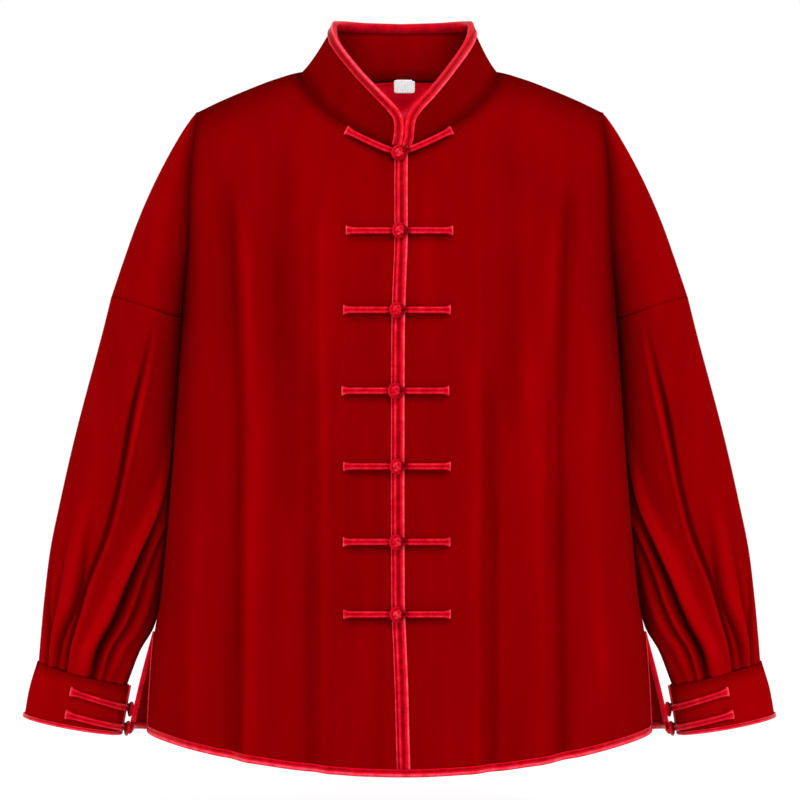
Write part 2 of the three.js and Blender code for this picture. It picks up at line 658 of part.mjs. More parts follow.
const collarHalves = sides.map(({ side }) =>
  Array.from({ length: collarColumns + 1 }, (_, i) => {
    const at = i / collarColumns;
    const base = necklinePoint(side, at);
    const top = new THREE.Vector3(
      side * along(collarTop, "at", "x", at) + along(collarTop, "at", "sway", at),
      along(collarTop, "at", "y", at),
      along(collarTop, "at", "z", at),
    );
    const rise = top.clone().sub(base);
    base.addScaledVector(rise, collarSeat / rise.length());
    return collarRows.map((v) => base.clone().lerp(top, v));
  }),
);
const [collarRight, collarLeft] = collarHalves;
const collarGrid = [...collarRight.toReversed(), ...collarLeft.slice(1)];
const collarFaces = sides.flatMap(({ side }, i) => gridTriangles(collarHalves[i].toReversed(), side < 0));
const collar = wallFrom(collarFaces, collarWall);
const collarMesh = addMesh("collar", collar.geometry, velvet);
const collarEdge = collarGrid.map((line) => ({
  ...stationOf(line.at(-1), line.at(-2), collar.normalAt),
  room: collarLegShare * line.at(-1).distanceTo(line[0]),
}));
const collarFolded = binding(collarEdge, collarWall, collarBindingLeg, collarBindingLift);
const collarMeshes = [collarMesh, addMesh("binding_collar", collarFolded, satin)];

// ==== Sleeves ====

const ringSizes = ["outX", "outZ", "inX", "inZ", "midY", "depth"];
const ringAt = (rings, t) => Object.fromEntries(ringSizes.map((size) => [size, along(rings, "t", size, t)]));

// How far the pleats lift the sleeve off its plain ring.
function pleatLift(t, angle) {
  let sum = 0;
  for (const pleat of pleats) {
    const course = [pleat.a, pleat.b, pleat.c, pleat.d].map((degrees, i) => ({ t: pleatPlaces[i], degrees }));
    const away = ((angle - along(course, "t", "degrees", t) + 540) % 360) - 180;
    const gathered = 1 - pleatGather * smoothstep(t, 0.9, 1);
    const grown = smoothstep(t, pleat.from, pleat.from + pleatGrowth) * gathered;
    sum += pleat.height * grown * Math.exp(-((away / pleat.width) ** 2));
  }
  const beside = Math.exp(-(((angle - besideBody.angle) / besideBody.width) ** 2));
  const held = beside * (1 - smoothstep(t, 0.7, 0.88));
  return (sum - pleatDraw * smoothstep(t, 0.3, 0.9)) * (1 - held);
}

// A point of a ring round the arm, at an angle in radians from the outer edge over the front.
function ringPoint(ring, side, angle, lift) {
  const [c, s] = [Math.cos(angle), Math.sin(angle)];
  const halfX = (ring.outX - ring.inX) / 2;
  const halfZ = (ring.outZ - ring.inZ) / 2;
  const radial = new THREE.Vector3(halfX * c, -ring.depth * s, halfZ * c);
  const p = new THREE.Vector3((ring.outX + ring.inX) / 2, ring.midY, (ring.outZ + ring.inZ) / 2).add(radial);
  p.addScaledVector(radial.normalize(), lift);
  p.x *= side;
  return p;
}

const sleeveSteps = [0, 0.06, 0.15, 0.27, 0.4, 0.52, 0.64, 0.75, 0.84, sleeveSlitFrom, 1];
const sleeveColumns = 36;
const cuffSteps = [0, 0.5, 1];
const cuffColumns = 26;

// Lines of points round the arm, from the inner edge over the front and back to it, less an opening there.
const armTube = (steps, columns, pointAt, openingAt) =>
  steps.map((t) => {
    const half = openingAt(t);
    const line = Array.from({ length: columns + 1 }, (_, j) =>
      pointAt(t, Math.PI - half - (2 * Math.PI - 2 * half) * (j / columns)));
    return half > 0 ? line : [...line.slice(0, -1), line[0]];
  });

const sleeveOpening = (t) => sleeveSlitHalf * clamp((t - sleeveSlitFrom) / (1 - sleeveSlitFrom), 0, 1);
const toDegrees = (angle) => (THREE.MathUtils.radToDeg(angle) + 360) % 360;
const lastCuffStep = cuffSteps.length - 1;

for (const { name, side } of sides) {
  const sleevePoint = (t, angle) =>
    ringPoint(ringAt(sleeveRings, t), side, angle, pleatLift(t, toDegrees(angle)));
  const cuffPoint = (t, angle) => ringPoint(ringAt(cuffRings, t), side, angle, 0);
  const sleeve = armTube(sleeveSteps, sleeveColumns, sleevePoint, sleeveOpening);
  addMesh(`sleeve_${name}`, wallFrom(gridTriangles(sleeve, side < 0), velvetWall).geometry, velvet);
  const cuff = armTube(cuffSteps, cuffColumns, cuffPoint, () => cuffOpeningHalf);
  const { geometry, normalAt } = wallFrom(gridTriangles(cuff, side < 0), cuffWall);
  addMesh(`cuff_${name}`, geometry, velvet);
  const edge = rowStations(cuff, normalAt, lastCuffStep, lastCuffStep - 1);
  addMesh(`binding_cuff_${name}`, binding(edge, cuffWall, cuffBindingLeg), satin);
  for (const [end, at, next] of [["front", 0, 1], ["back", cuffColumns, cuffColumns - 1]]) {
    const opening = shortened(columnStations(cuff, normalAt, at, next), cuffBindingLeg + seamGap);
    addMesh(`binding_cuff_opening_${end}_${name}`, binding(opening, cuffWall, cuffBindingLeg), satin);
  }
}

// ==== Frogs ====

function solidOf(geometry) {
  const bare = new THREE.BufferGeometry().setAttribute("position", geometry.attributes.position.clone());
  bare.setIndex(geometry.index);
  const merged = mergeVertices(bare, 1e-3);
  const vertProperties = merged.attributes.position.array;
  const triVerts = new Uint32Array(merged.index.array);
  return new wasm.Manifold(new wasm.Mesh({ numProp: 3, vertProperties, triVerts }));
}

function geometryOf(solid) {
  const mesh = solid.getMesh();
  const geometry = new THREE.BufferGeometry();
  geometry.setAttribute("position", new THREE.BufferAttribute(new Float32Array(mesh.vertProperties), 3));
  return geometry.setIndex(new THREE.BufferAttribute(mesh.triVerts, 1));
}

const barOutline = [[-1, 0], [-0.55, -1], [0.55, -1], [1, 0], [0.55, 1], [-0.55, 1]]
  .map(([x, y]) => new THREE.Vector2(x * barHalfWidth, y * barHalfThickness));

// A bar's size along it, from its rolled end to the fastening.
const barSize = (share) => 1 + (barFlare - 1) * (1 - smoothstep(share, 0, barFlareShare)) - barTaper * share;

// A bar of two cords side by side. Its places run from the rolled end to the fastening; each has a point on
// the cloth, the direction out of the cloth and the direction across the bar.
function bar(places) {
  return loft(places.map(({ point, out, across }, i) => {
    const size = barSize(i / (places.length - 1));
    return barOutline.map((q) => point.clone()
      .addScaledVector(across, q.x * size)
      .addScaledVector(out, frogLift + barHalfThickness * size + q.y * size));
  }), barOutline);
}

const knotBall = new THREE.SphereGeometry(knotRadius, 8, 5);
const loopRing = new THREE.TorusGeometry(loopRadius, loopCord, 4, 9);
const loopTilt = 0.27; // the loop passes over the knot's neck, in radians
const loopSeat = loopRadius * 0.85; // a loop's bar ends this far from the knot's middle
const loopDrop = 1.3;
const knotGap = 0.6; // under the knot
const knotStand = frogLift + knotRadius + knotGap;

// A fastening: a knot on one bar, held in a loop on the other. The centre is a place on the cloth, with the
// direction from the knot's bar to the loop's bar.
function frog(name, centre, knotPlaces, loopPlaces) {
  const { point, out, towards } = centre;
  const middle = point.clone().addScaledVector(out, knotStand);
  const basis = new THREE.Matrix4().makeBasis(towards, out.clone().cross(towards), out).setPosition(middle);
  const ball = knotBall.clone().applyMatrix4(basis);
  const tilted = new THREE.Matrix4().makeRotationY(loopTilt).setPosition(0, 0, -loopDrop);
  const ring = loopRing.clone().applyMatrix4(tilted).applyMatrix4(basis);
  addMesh(`${name}_knot`, geometryOf(solidOf(bar(knotPlaces)).add(solidOf(ball))), satin);
  addMesh(`${name}_loop`, geometryOf(solidOf(bar(loopPlaces)).add(solidOf(ring))), satin);
}

// ---- Down the front ----
const barSteps = 4;
const tested = [-7, -3.5, 0, 3.5, 7]; // places along a bar, round each of its sections, that clear the cloth
const testedAcross = [-barHalfWidth, 0, barHalfWidth];
const frontCloth = [...fronts[-1], ...fronts[1], ...collarMeshes];

frogRows.forEach(({ x: frogX, z }, row) => {
  const rise = row === 0 ? topFrogRise : 0;
  const barHeight = (x) => z + rise * (Math.abs(x - frogX) / frogReach) ** topFrogCurve;
  const placeAt = (x) => {
    const ys = tested.flatMap((dx) =>
      testedAcross.map((dz) => clothY(frontCloth, x + dx, -rayStart, barHeight(x + dx) + dz)));
    return new THREE.Vector3(x, Math.min(...ys), barHeight(x));
  };
  const out = new THREE.Vector3(0, -1, 0);
  const places = (side, end) => Array.from({ length: barSteps + 1 }, (_, i) => {
    const x = frogX + side * lerp(frogReach, end, i / barSteps);
    const tangent = new THREE.Vector3(1, 0, barHeight(x + 0.5) - barHeight(x - 0.5)).normalize();
    return { point: placeAt(x), out, across: new THREE.Vector3(-tangent.z, 0, tangent.x) };
  });
  const centre = { point: placeAt(frogX), out, towards: new THREE.Vector3(1, 0, 0) };
  frog(`frog_${row + 1}`, centre, places(-1, knotRadius * knotNeck), places(1, loopSeat));
});

// ---- On the cuffs, across the opening ----
const cuffBarSteps = 6;
const cuffBindingZone = [degToRad(14), degToRad(25)]; // where a bar comes down off the opening's binding
const overBinding = bindingFar + seamGap / 2;
const angleStep = 0.01;
for (const { name, side } of sides)
  cuffFrogs.forEach(({ opening, end: barEnd }, row) => {
    const pointAt = (t, angle, lift) => ringPoint(ringAt(cuffRings, t), side, angle, lift);
    const place = (angle) => {
      const away = Math.abs(angle - Math.PI);
      const placeT = (at) => lerp(opening, barEnd, Math.abs(at - Math.PI) / cuffFrogSpan);
      const lift = overBinding * (1 - smoothstep(away, ...cuffBindingZone));
      const [before, after] = [angle - angleStep, angle + angleStep];
      const tangent = pointAt(placeT(after), after, 0).sub(pointAt(placeT(before), before, 0)).normalize();
      const axis = pointAt(1, angle, 0).sub(pointAt(0, angle, 0));
      const out = axis.cross(tangent).multiplyScalar(-side).normalize();
      const point = pointAt(placeT(angle), angle, lift);
      return { point, out, across: out.clone().cross(tangent), towards: tangent };
    };
    const places = (turn, end) => Array.from({ length: cuffBarSteps + 1 }, (_, i) =>
      place(Math.PI + turn * lerp(cuffFrogSpan, end, i / cuffBarSteps)));
    const radius = ringAt(cuffRings, opening).depth;
    const knotPlaces = places(-1, (knotRadius * knotNeck) / radius);
    frog(`frog_cuff_${name}_${row + 1}`, place(Math.PI), knotPlaces, places(1, loopSeat / radius));
  });

export default jacket;
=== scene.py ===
"""A red velvet tai chi jacket, hollow as if worn, with satin bindings, knotted fastenings and a label."""
import math

import bpy
import numpy as np
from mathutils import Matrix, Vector
from mathutils.bvhtree import BVHTree


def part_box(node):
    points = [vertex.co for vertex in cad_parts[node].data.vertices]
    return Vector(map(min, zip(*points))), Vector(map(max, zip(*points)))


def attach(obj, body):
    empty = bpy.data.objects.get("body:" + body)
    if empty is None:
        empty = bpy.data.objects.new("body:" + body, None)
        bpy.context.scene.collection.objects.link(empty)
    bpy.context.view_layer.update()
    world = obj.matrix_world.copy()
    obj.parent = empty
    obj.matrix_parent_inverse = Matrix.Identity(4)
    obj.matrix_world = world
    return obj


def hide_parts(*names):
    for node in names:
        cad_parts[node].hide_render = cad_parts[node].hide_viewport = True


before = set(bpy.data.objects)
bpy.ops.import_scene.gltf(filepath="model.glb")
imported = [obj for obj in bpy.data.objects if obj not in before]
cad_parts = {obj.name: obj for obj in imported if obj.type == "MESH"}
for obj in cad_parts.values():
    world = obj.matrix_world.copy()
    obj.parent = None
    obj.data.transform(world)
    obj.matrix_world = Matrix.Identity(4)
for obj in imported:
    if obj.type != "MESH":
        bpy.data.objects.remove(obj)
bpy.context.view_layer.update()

MM = 0.001  # the sizes below are in millimetres, in the frame's axes


def table(columns, *rows):
    """A short table with named columns, as one array for each column."""
    return dict(zip(columns.split(), np.array(rows, float).T))


def each_row(rows):
    """The rows of a table, one after another, each by its columns' names."""
    for k in range(len(next(iter(rows.values())))):
        yield {name: values[k] for name, values in rows.items()}


# ---- Walls, seams and bindings ----
VELVET_WALL = 1.6
COLLAR_WALL = 2.4
CUFF_WALL = 2.2
LINING_WALL = 1
SEAM_GAP = 0.4
BINDING_LIFT = 0.5
BINDING_WALL = 1
BINDING_FAR = BINDING_LIFT + BINDING_WALL
COLLAR_BINDING_LIFT = 0.8
# How far a binding reaches in from the edge.
HEM_LEG = 6.4
FRONT_LEG = 5.0
COLLAR_LEG = 8.0
CUFF_LEG = 2.6

# ---- The body's frontal outline ----
EDGE_SET_BACK = BINDING_FAR - 0.02
NECK_HALF = 97
FRONT_NECK_Z = -81
FRONT_NECK_POINTED = 1.5
FRONT_NECK_POWER = 0.6
BACK_NECK_DROP = 12
TIP_X, TIP_Z = 201, -40
UNDERARM_Z = -246
ARM_SEAM_Z = -225
SLIT_TOP_Z = -555
SLIT_BINDING_DROP = 5
SLIT_PARTING = 7
SLIT_PARTING_POWER = 0.6
SLIT_PARTING_REACH = 8  # the higher, the closer to the slit the cloth parts
HEM_CENTRE_Z = -691
HEM_SIDE_Z = -657
HEM_POWER = 1.8
SHOULDER_ROLL = 60
SIDE_FULLNESS = 3
FOLDS_TO_SIDE = 1.4  # the higher, the closer to the side the folds keep their height

# ---- Painted shade and highlights: how much darker or brighter the nap is drawn ----
FOLD_TONE = 0.035  # painted highlight on a fold's crest and painted shade in its trough, for each mm that it stands up
CREASE_TONE = 0.22  # painted shade in the crease beside the arm
# Painted shade round the neck, just outside the collar's seam.
NECK_TONE = 0.42
# Painted shade on the tops of the shoulders, where the cloth faces up.
SHOULDER_TONE = 0.7
BODY_TONE = 0.08
# Painted shadow just below the fastenings' bars.
BAR_SHADOW_TONE = 0.36
COLLAR_TONE = 0.3
# Inside the collar: a lift in the middle, painted shade at both ends and at the seam.
INNER_COLLAR_TONE, INNER_COLLAR_END_TONE, INNER_COLLAR_SEAM_TONE = 0.15, 0.4, 0.4
# The cuff is lifted all over; painted shade along its top seam.
CUFF_TONE, CUFF_SEAM_TONE = 0.1, 0.35
# Painted shade along the collar's foot, by its seam.
SEAM_TONE = 0.3
# Painted shade on the sleeve where it lies beside the body.
BESIDE_TONE = 0.4
SHADE_WIDTH = 6
NECK_SHADE_WIDTH = 0.14  # as a share of the neckline's own measure
NECK_SHADE_FROM = (30, 75)  # where the shade round the neck starts and is full, by x
CREASE_GROWS, CREASE_ENDS = (50, 90), (235, 275)  # how far down the painted shade in the crease beside the arm grows and fades
BAR_SHADE_DROP = 6.5
BAR_SHADE_WIDTH = 3.6
INSIDE_TONE = -0.1
# Painted highlight on the sleeves' pleat ridges and painted shade in their valleys.
PLEAT_TONE = 0.045
VALLEY_TONE = 0.16

# The line where the two bound front edges meet wanders a little.
MEET_LINE = table(
    "z x",
    (-81, 1.8), (-115, 1.5), (-175, 1.5), (-215, 0), (-270, -1.4), (-520, -1.4), (-570, 0.5), (-610, 2),
    (-650, 3), (-691, 4.2),
)
RIDGE = table("x z", (0, 10), (97, 0), (126, -8), (152, -18), (178, -29), (201, -40))
ARM_EDGE = table(
    "z x", (-40, 201), (-48, 207.5), (-68, 220.5), (-108, 242.5), (-148, 260.5), (-188, 275), (-225, 287.5)
)
SIDE_EDGE = table(
    "z front back", (-40, 201, 201), (-110, 206.5, 206.5), (-178, 209, 209), (-246, 217, 217),
    (-298, 220.5, 220.5), (-408, 228, 228), (-528, 239, 239), (-555, 244, 244), (-600, 247.5, 256),
    (-660, 250.5, 270.5),
)
BODY_DEPTH = table(
    "z front back", (10, 44, 78), (-50, 60, 84), (-90, 73, 90), (-140, 90, 96), (-210, 102, 100),
    (-320, 104, 97), (-450, 100, 93), (-580, 100, 95), (-700, 105, 101),
)
ARM_FOLD = table("z depth", (-40, 32), (-70, 40), (-110, 43), (-160, 37), (-205, 21), (-246, 0))
UPPER_ARM_DEPTH = table("z depth", (-40, 46), (-110, 55), (-180, 62), (-246, 66))

# Soft vertical folds: where each runs at three heights, how wide and how high (below 0, a trough), where it
# starts and where it ends.
FOLD_HEIGHTS = (-100, -350, -650)
FOLD_GROWTH = 60  # how far below its start a fold is full
FOLD_FADE = (-60, 20)  # from its end, where it is gone (past the end) and where it is still full
FOLD_COLUMNS = "high middle low width height from_z to_z"
FRONT_FOLDS = table(
    FOLD_COLUMNS,
    (-197, -199, -206, 12, 3.0, -70, -640),
    (-172, -156, -163, 9, -5.0, -90, -690),
    (-158, -141, -146, 10, 4.0, -120, -690),
    (-112, -108, -112, 11, -3.2, -60, -420),
    (-84, -84, -82, 10, -4.2, -280, -700),
    (-70, -72, -68, 10, 3.4, -70, -700),
    (-40, -40, -42, 12, 2.2, -520, -700),
    (24, 26, 28, 10, 2.6, -90, -240),
    (60, 74, 74, 10, 3.0, -250, -690),
    (74, 86, 86, 9, -4.8, -280, -700),
    (108, 106, 110, 11, -3.0, -60, -330),
    (124, 126, 130, 12, 3.0, -250, -480),
    (158, 140, 138, 10, 3.6, -120, -690),
    (168, 151, 158, 9, -5.0, -90, -690),
    (190, 190, 200, 14, 3.0, -120, -600),
)
BACK_FOLDS = table(
    FOLD_COLUMNS,
    (-190, -186, -196, 13, 3.0, -90, -640),
    (-166, -150, -158, 10, -4.6, -100, -690),
    (-140, -132, -140, 11, 3.6, -140, -690),
    (-92, -84, -92, 11, -4.0, -170, -690),
    (-70, -66, -70, 12, 3.0, -200, -690),
    (-18, -22, -26, 12, -3.4, -260, -700),
    (8, 2, -2, 12, 3.0, -300, -700),
    (52, 46, 50, 11, -3.8, -210, -700),
    (74, 68, 74, 12, 3.2, -180, -690),
    (116, 108, 116, 11, -3.4, -120, -690),
    (150, 136, 146, 11, 3.8, -130, -690),
    (172, 158, 166, 10, -4.4, -100, -690),
    (192, 188, 198, 13, 2.8, -100, -620),
)

# Narrow streaks of painted shade (below 0) and painted highlight that lie beside the folds of either face.
PAINTED_FOLD_STREAKS = table(
    "high middle low width tone from_z to_z",
    (-163, -156, -156, 3.5, -0.14, -110, -690), (-147, -147, -148, 3, 0.08, -140, -690),
    (-119, -119, -119, 3.5, -0.1, -150, -340), (-88, -88, -87, 3.5, -0.12, -430, -700),
    (-76, -76, -75, 3, 0.09, -120, -690), (-64, -64, -66, 4, -0.13, -250, -690),
    (-20, -20, -19, 4, -0.1, -330, -690), (77, 77, 76, 3, 0.09, -140, -690),
    (93, 93, 92, 3.5, -0.14, -390, -700), (112, 112, 112, 3.5, -0.1, -150, -340),
    (149, 149, 148, 3, 0.08, -140, -690), (164, 157, 160, 3.5, -0.14, -110, -690),
)

# ---- Sleeves and cuffs ----
RING_COLUMNS = "t out_x out_z in_x in_z mid_y depth"
SLEEVE_RINGS = table(
    RING_COLUMNS,
    (0.0, 287.7, -225.5, 218.4, -246.5, 0, 66),
    (0.12, 299.5, -268, 221, -290, 10, 63),
    (0.28, 317, -328, 223, -352, 21, 57),
    (0.41, 330.5, -378, 226.5, -404, 26, 53),
    (0.54, 342.5, -428, 230.5, -456, 27, 51),
    (0.67, 353.5, -478, 237, -508, 27, 50),
    (0.8, 360, -528, 246, -556, 25, 47),
    (0.9, 363.2, -562, 260, -583, 23, 41),
    (1.0, 365.3, -590, 272, -615, 21, 34),
)
CUFF_RINGS = table(
    RING_COLUMNS,
    (0, 364.4, -590.5, 271.9, -615.4, 21, 34.5),
    (0.5, 372.5, -617.5, 276.5, -640, 21, 36),
    (1, 377.5, -645, 280.5, -663, 21, 37.5),
)
SLEEVE_SLIT_FROM = 0.91
# How far the sleeve's top edge closes up across its seam, and its inner edge against the body's side.
SLEEVE_TUCK = 0.55
SIDE_TUCK = 1.8
SIDE_TUCK_HALF, SIDE_TUCK_ENDS = 25, (0.15, 0.32)  # how far round and down the sleeve it closes up
OPENING_HALF = math.radians(5)

# Pleats held by the cuff. Each runs through these degrees round the sleeve, counted from its outer edge over
# the front, at seven places along it.
PLEAT_PLACES = (0.03, 0.25, 0.45, 0.6, 0.75, 0.9, 1.0)
PLEAT_COLUMNS = "a b c d e f g width height start"
PLEAT_RIDGES = table(
    PLEAT_COLUMNS,
    (14, 16, 18, 22, 27, 30, 29, 9, 4.0, 0.62),
    (60, 62, 62, 60, 58, 48, 46, 9, 4.4, 0.4),
    (122, 107, 98, 92, 80, 75, 75, 5, 5.0, 0.0),
    (168, 167, 146, 123, 106, 95, 92, 7, 6.2, 0.2),
    (160, 158, 138, 115, 98, 87, 84, 4.5, 3.2, 0.25),
    (180, 179, 176, 139, 124, 114, 114, 4.5, 4.5, 0.3),
    (190, 183, 174, 158, 143, 131, 126, 9, 4.4, 0.45),
    (182, 180, 178, 171, 164, 154, 150, 9, 3.6, 0.72),
    (190, 193, 196, 200, 203, 205, 206, 9, 3.8, 0.7),
    (196, 205, 212, 220, 226, 231, 234, 9, 5.4, 0.35),
    (236, 243, 248, 252, 256, 259, 260, 9, 5.6, 0.05),
    (268, 274, 278, 282, 284, 285, 285, 9, 5.2, 0.3),
    (300, 304, 306, 307, 308, 309, 309, 9, 5.0, 0.45),
    (338, 336, 334, 333, 333, 333, 333, 9, 4.2, 0.6),
)
PLEAT_VALLEYS = table(
    PLEAT_COLUMNS,
    (26, 26, 26, 26, 27, 39, 40, 4, 3.6, 0.6),
    (70, 70, 70, 70, 70, 58, 56, 3.5, 4.0, 0.5),
    (114, 98, 94, 88, 76, 71, 71, 3, 5.0, 0.0),
    (172, 172, 153, 132, 117, 107, 107, 4.2, 7.0, 0.15),
    (184, 183, 181, 150, 134, 122, 121, 3.2, 3.4, 0.45),
    (50, 50, 49, 49, 44, 43, 43, 3, 2.4, 0.55),
    (216, 224, 230, 236, 241, 245, 247, 4, 4.0, 0.3),
    (252, 259, 263, 267, 270, 272, 272, 3.5, 4.4, 0.15),
    (284, 290, 292, 295, 296, 297, 297, 3.5, 3.8, 0.4),
    (318, 320, 320, 320, 320, 321, 321, 4, 3.2, 0.6),
)

PLEAT_GROWTH = 0.3  # the share of the sleeve over which a pleat rises
PLEAT_EASE = 2.2  # how far the gathered cloth sinks between its pleats
NEAR_BODY, NEAR_BODY_HALF = 188, 34  # the degrees where the sleeve lies beside the body, and has no pleats

# ---- The collar: its top edge from the middle of the back to the front end ----
# x is measured from the collar's own middle, which sways a little from the jacket's.
COLLAR_TOP = table(
    "at x sway y z",
    (0, 0, 2.5, 35, 50.5), (0.14, 36, 2.5, 30, 51), (0.27, 61, 2.8, 14, 50.5), (0.34, 69, 3.2, -1, 47),
    (0.45, 63, 2.4, -16, 27), (0.6, 43.5, 3.2, -36, -2), (0.75, 23.6, 4.6, -52.5, -26),
    (0.8, 16, 4.7, -57, -34), (0.85, 9.0, 4.9, -61, -42), (0.9, 3.7, 5.0, -64.5, -50.5),
    (0.95, 1.8, 4.8, -67, -60), (1, 1.72, 4.2, -69, -71),
)
COLLAR_SIDE = 0.4
COLLAR_BEND = (30, 64)  # where the collar bends forward, by x
COLLAR_FOOT = (-4, 10)  # the height of its foot behind
COLLAR_SEAT = -0.6  # the band starts this far below the neckline, sunk in the body's wall

# ---- Frogs ----
FROG_ROWS = table(
    "x z", (-0.5, -87), (0, -164), (-2.5, -241), (-4, -319), (-2.4, -392), (-2.8, -465), (-2.4, -535)
)
FROG_REACH = 52
TOP_FROG_RISE = 23
TOP_FROG_POWER = 1.2
BAR_HALF_WIDTH = 3.5
BAR_HEIGHT = 3.4
BAR_FLARE = 1.42
BAR_FLARE_SHARE = 0.15
BAR_LIFT = 0.5
CORD_RADIUS = 1.5
KNOT_HEIGHT = 5.6  # of its middle, above the cloth
KNOT_RADIUS, KNOT_CORE, KNOT_CORD = 3.5, 3.4, 1.42
KNOT_OVER_UNDER = 0.7  # how far the cord lifts where it crosses itself
KNOT_RISE = 1.08  # how far its turns reach towards its ends, in radians
KNOT_LENGTH, KNOT_WIDTH = 0.92, 1.14
KNOT_BAR_START, LOOP_BAR_START = -4.5, 6.5
LOOP_RADIUS, LOOP_TILT, LOOP_DROP = 6.3, 0.3, 1.5
LOOP_OPENING = 35  # degrees between the loop's ends and its bar
CUFF_FROGS = table("opening end", (0.46, 0.31), (0.88, 0.75))
CUFF_FROG_SPAN = math.radians(96)
CUFF_FROG_LIFT = 0.2
CUFF_BINDING_ZONE = (math.radians(14), math.radians(25))

# ---- The label ----
LABEL_X = 5
LABEL_WIDTH, LABEL_HEIGHT, LABEL_WALL = 21, 13.5, 1
LABEL_CORNER = 2.2
LABEL_RAISE = 4.3
LABEL_FORWARD = 1.0
LABEL_LEAN = math.radians(10)


# ==== Camera ====

def set_camera():
    """A long lens square to the jacket's front, level with its middle."""
    data = bpy.data.cameras.new("camera")
    data.lens = 135
    data.sensor_width = 36
    camera = bpy.data.objects.new("camera", data)
    camera.location = (0.0005, -3.0, -0.328)
    camera.rotation_euler = (math.radians(90), 0, 0)
    bpy.context.scene.collection.objects.link(camera)
    bpy.context.scene.camera = camera


set_camera()


# ==== Curves and the body's surface ====

def lerp(a, b, share):
    return a + (b - a) * share


def smooth_step(value, low, high):
    s = np.clip((value - low) / (high - low), 0, 1)
    return s * s * (3 - 2 * s)


def along(rows, by, column, at):
    """A column's value at places in another column, smooth between the rows and held at the ends."""
    x, y = rows[by], rows[column]
    if x[1] < x[0]:
        x, y = x[::-1], y[::-1]
    slope = np.empty_like(y)
    slope[1:-1] = (y[2:] - y[:-2]) / (x[2:] - x[:-2])
    slope[0] = (y[1] - y[0]) / (x[1] - x[0])
    slope[-1] = (y[-1] - y[-2]) / (x[-1] - x[-2])
    i = np.clip(np.searchsorted(x, at, side="right") - 1, 0, len(x) - 2)
    span = x[i + 1] - x[i]
    s = np.clip((at - x[i]) / span, 0, 1)
    return (
        y[i] * (2 * s**3 - 3 * s**2 + 1) + y[i + 1] * (3 * s**2 - 2 * s**3)
        + span * (slope[i] * (s**3 - 2 * s**2 + s) + slope[i + 1] * (s**3 - s**2))
    )


def meet_x(z):
    return along(MEET_LINE, "z", "x", z)


def ridge_z(x):
    return along(RIDGE, "x", "z", np.abs(x))


def neck_z(face, x):
    """The neckline's height: a deep scoop in front, and just under the ridge behind."""
    q = np.minimum(1, np.abs(x) / NECK_HALF)
    if face == "front":
        return FRONT_NECK_Z * (1 - q**FRONT_NECK_POINTED) ** FRONT_NECK_POWER
    return ridge_z(x) - BACK_NECK_DROP * (1 - q * q)


def hem_z(u):
    return lerp(HEM_CENTRE_Z, HEM_SIDE_Z, np.clip(u, 0, 1) ** HEM_POWER)


def turned_over(below):
    """How far the cloth has turned over the shoulder: 0 on the ridge, 1 once it hangs."""
    s = np.clip(below / SHOULDER_ROLL, 0, 1)
    return np.sqrt(s * (2 - s))


def run_down(rows, column, x, z):
    """The sum, at places on the body, of a column's values along soft lines that run down it."""
    high, middle, low = FOLD_HEIGHTS
    total = np.zeros(np.broadcast(x, z).shape)
    for row in each_row(rows):
        upper = lerp(row["high"], row["middle"], (high - z) / (high - middle))
        lower = lerp(row["middle"], row["low"], (middle - z) / (middle - low))
        path = np.where(z > middle, upper, lower)
        fade = smooth_step(row["from_z"] - z, 0, FOLD_GROWTH) * smooth_step(z - row["to_z"], *FOLD_FADE)
        total += row[column] * fade * np.exp(-(((x - path) / row["width"]) ** 2))
    return total


def bar_shadow(x, z):
    """How strong the painted shadow is, 0 to 1, just below the bars of the fastenings."""
    total = np.zeros(np.broadcast(x, z).shape)
    for row, (frog_x, frog_z) in enumerate(zip(FROG_ROWS["x"], FROG_ROWS["z"])):
        away = np.abs(x - frog_x)
        bar_z = frog_z + (TOP_FROG_RISE * (away / FROG_REACH) ** TOP_FROG_POWER if row == 0 else 0)
        below = np.exp(-(((z - bar_z + BAR_SHADE_DROP) / BAR_SHADE_WIDTH) ** 2))
        total += below * (1 - smooth_step(away, FROG_REACH - 8, FROG_REACH))
    return total


def body_shade_and_highlight(face, x, z, folds):
    """How much brighter (above 0) or darker the nap is drawn: painted highlights and shade on folds, painted
    shade in the arm's crease and round the neck, and painted shadow under the bars.
    """
    # Painted highlight and shade on the folds and the streaks beside them, and a darkening all over.
    tone = FOLD_TONE * folds + run_down(PAINTED_FOLD_STREAKS, "tone", x, z) - BODY_TONE
    beside = np.abs(x) - along(SIDE_EDGE, "z", face, z)
    # Painted shade in the crease beside the arm.
    crease = np.exp(-((beside / SHADE_WIDTH) ** 2)) * smooth_step(-z, *CREASE_GROWS)
    tone -= CREASE_TONE * crease * (1 - smooth_step(-z, *CREASE_ENDS))
    if face == "front":
        # Painted shadow below the bars.
        tone -= BAR_SHADOW_TONE * bar_shadow(x, z)
        # Painted shade round the neck, outside the collar's seam and towards the shoulders.
        drop = np.maximum(z / FRONT_NECK_Z, 0) ** (1 / FRONT_NECK_POWER)
        past_neck = np.maximum((np.abs(x) / NECK_HALF) ** FRONT_NECK_POINTED + drop - 1, 0)
        beside_neck = smooth_step(np.abs(x), *NECK_SHADE_FROM)
        tone -= NECK_TONE * np.exp(-((past_neck / NECK_SHADE_WIDTH) ** 2)) * beside_neck
    return tone


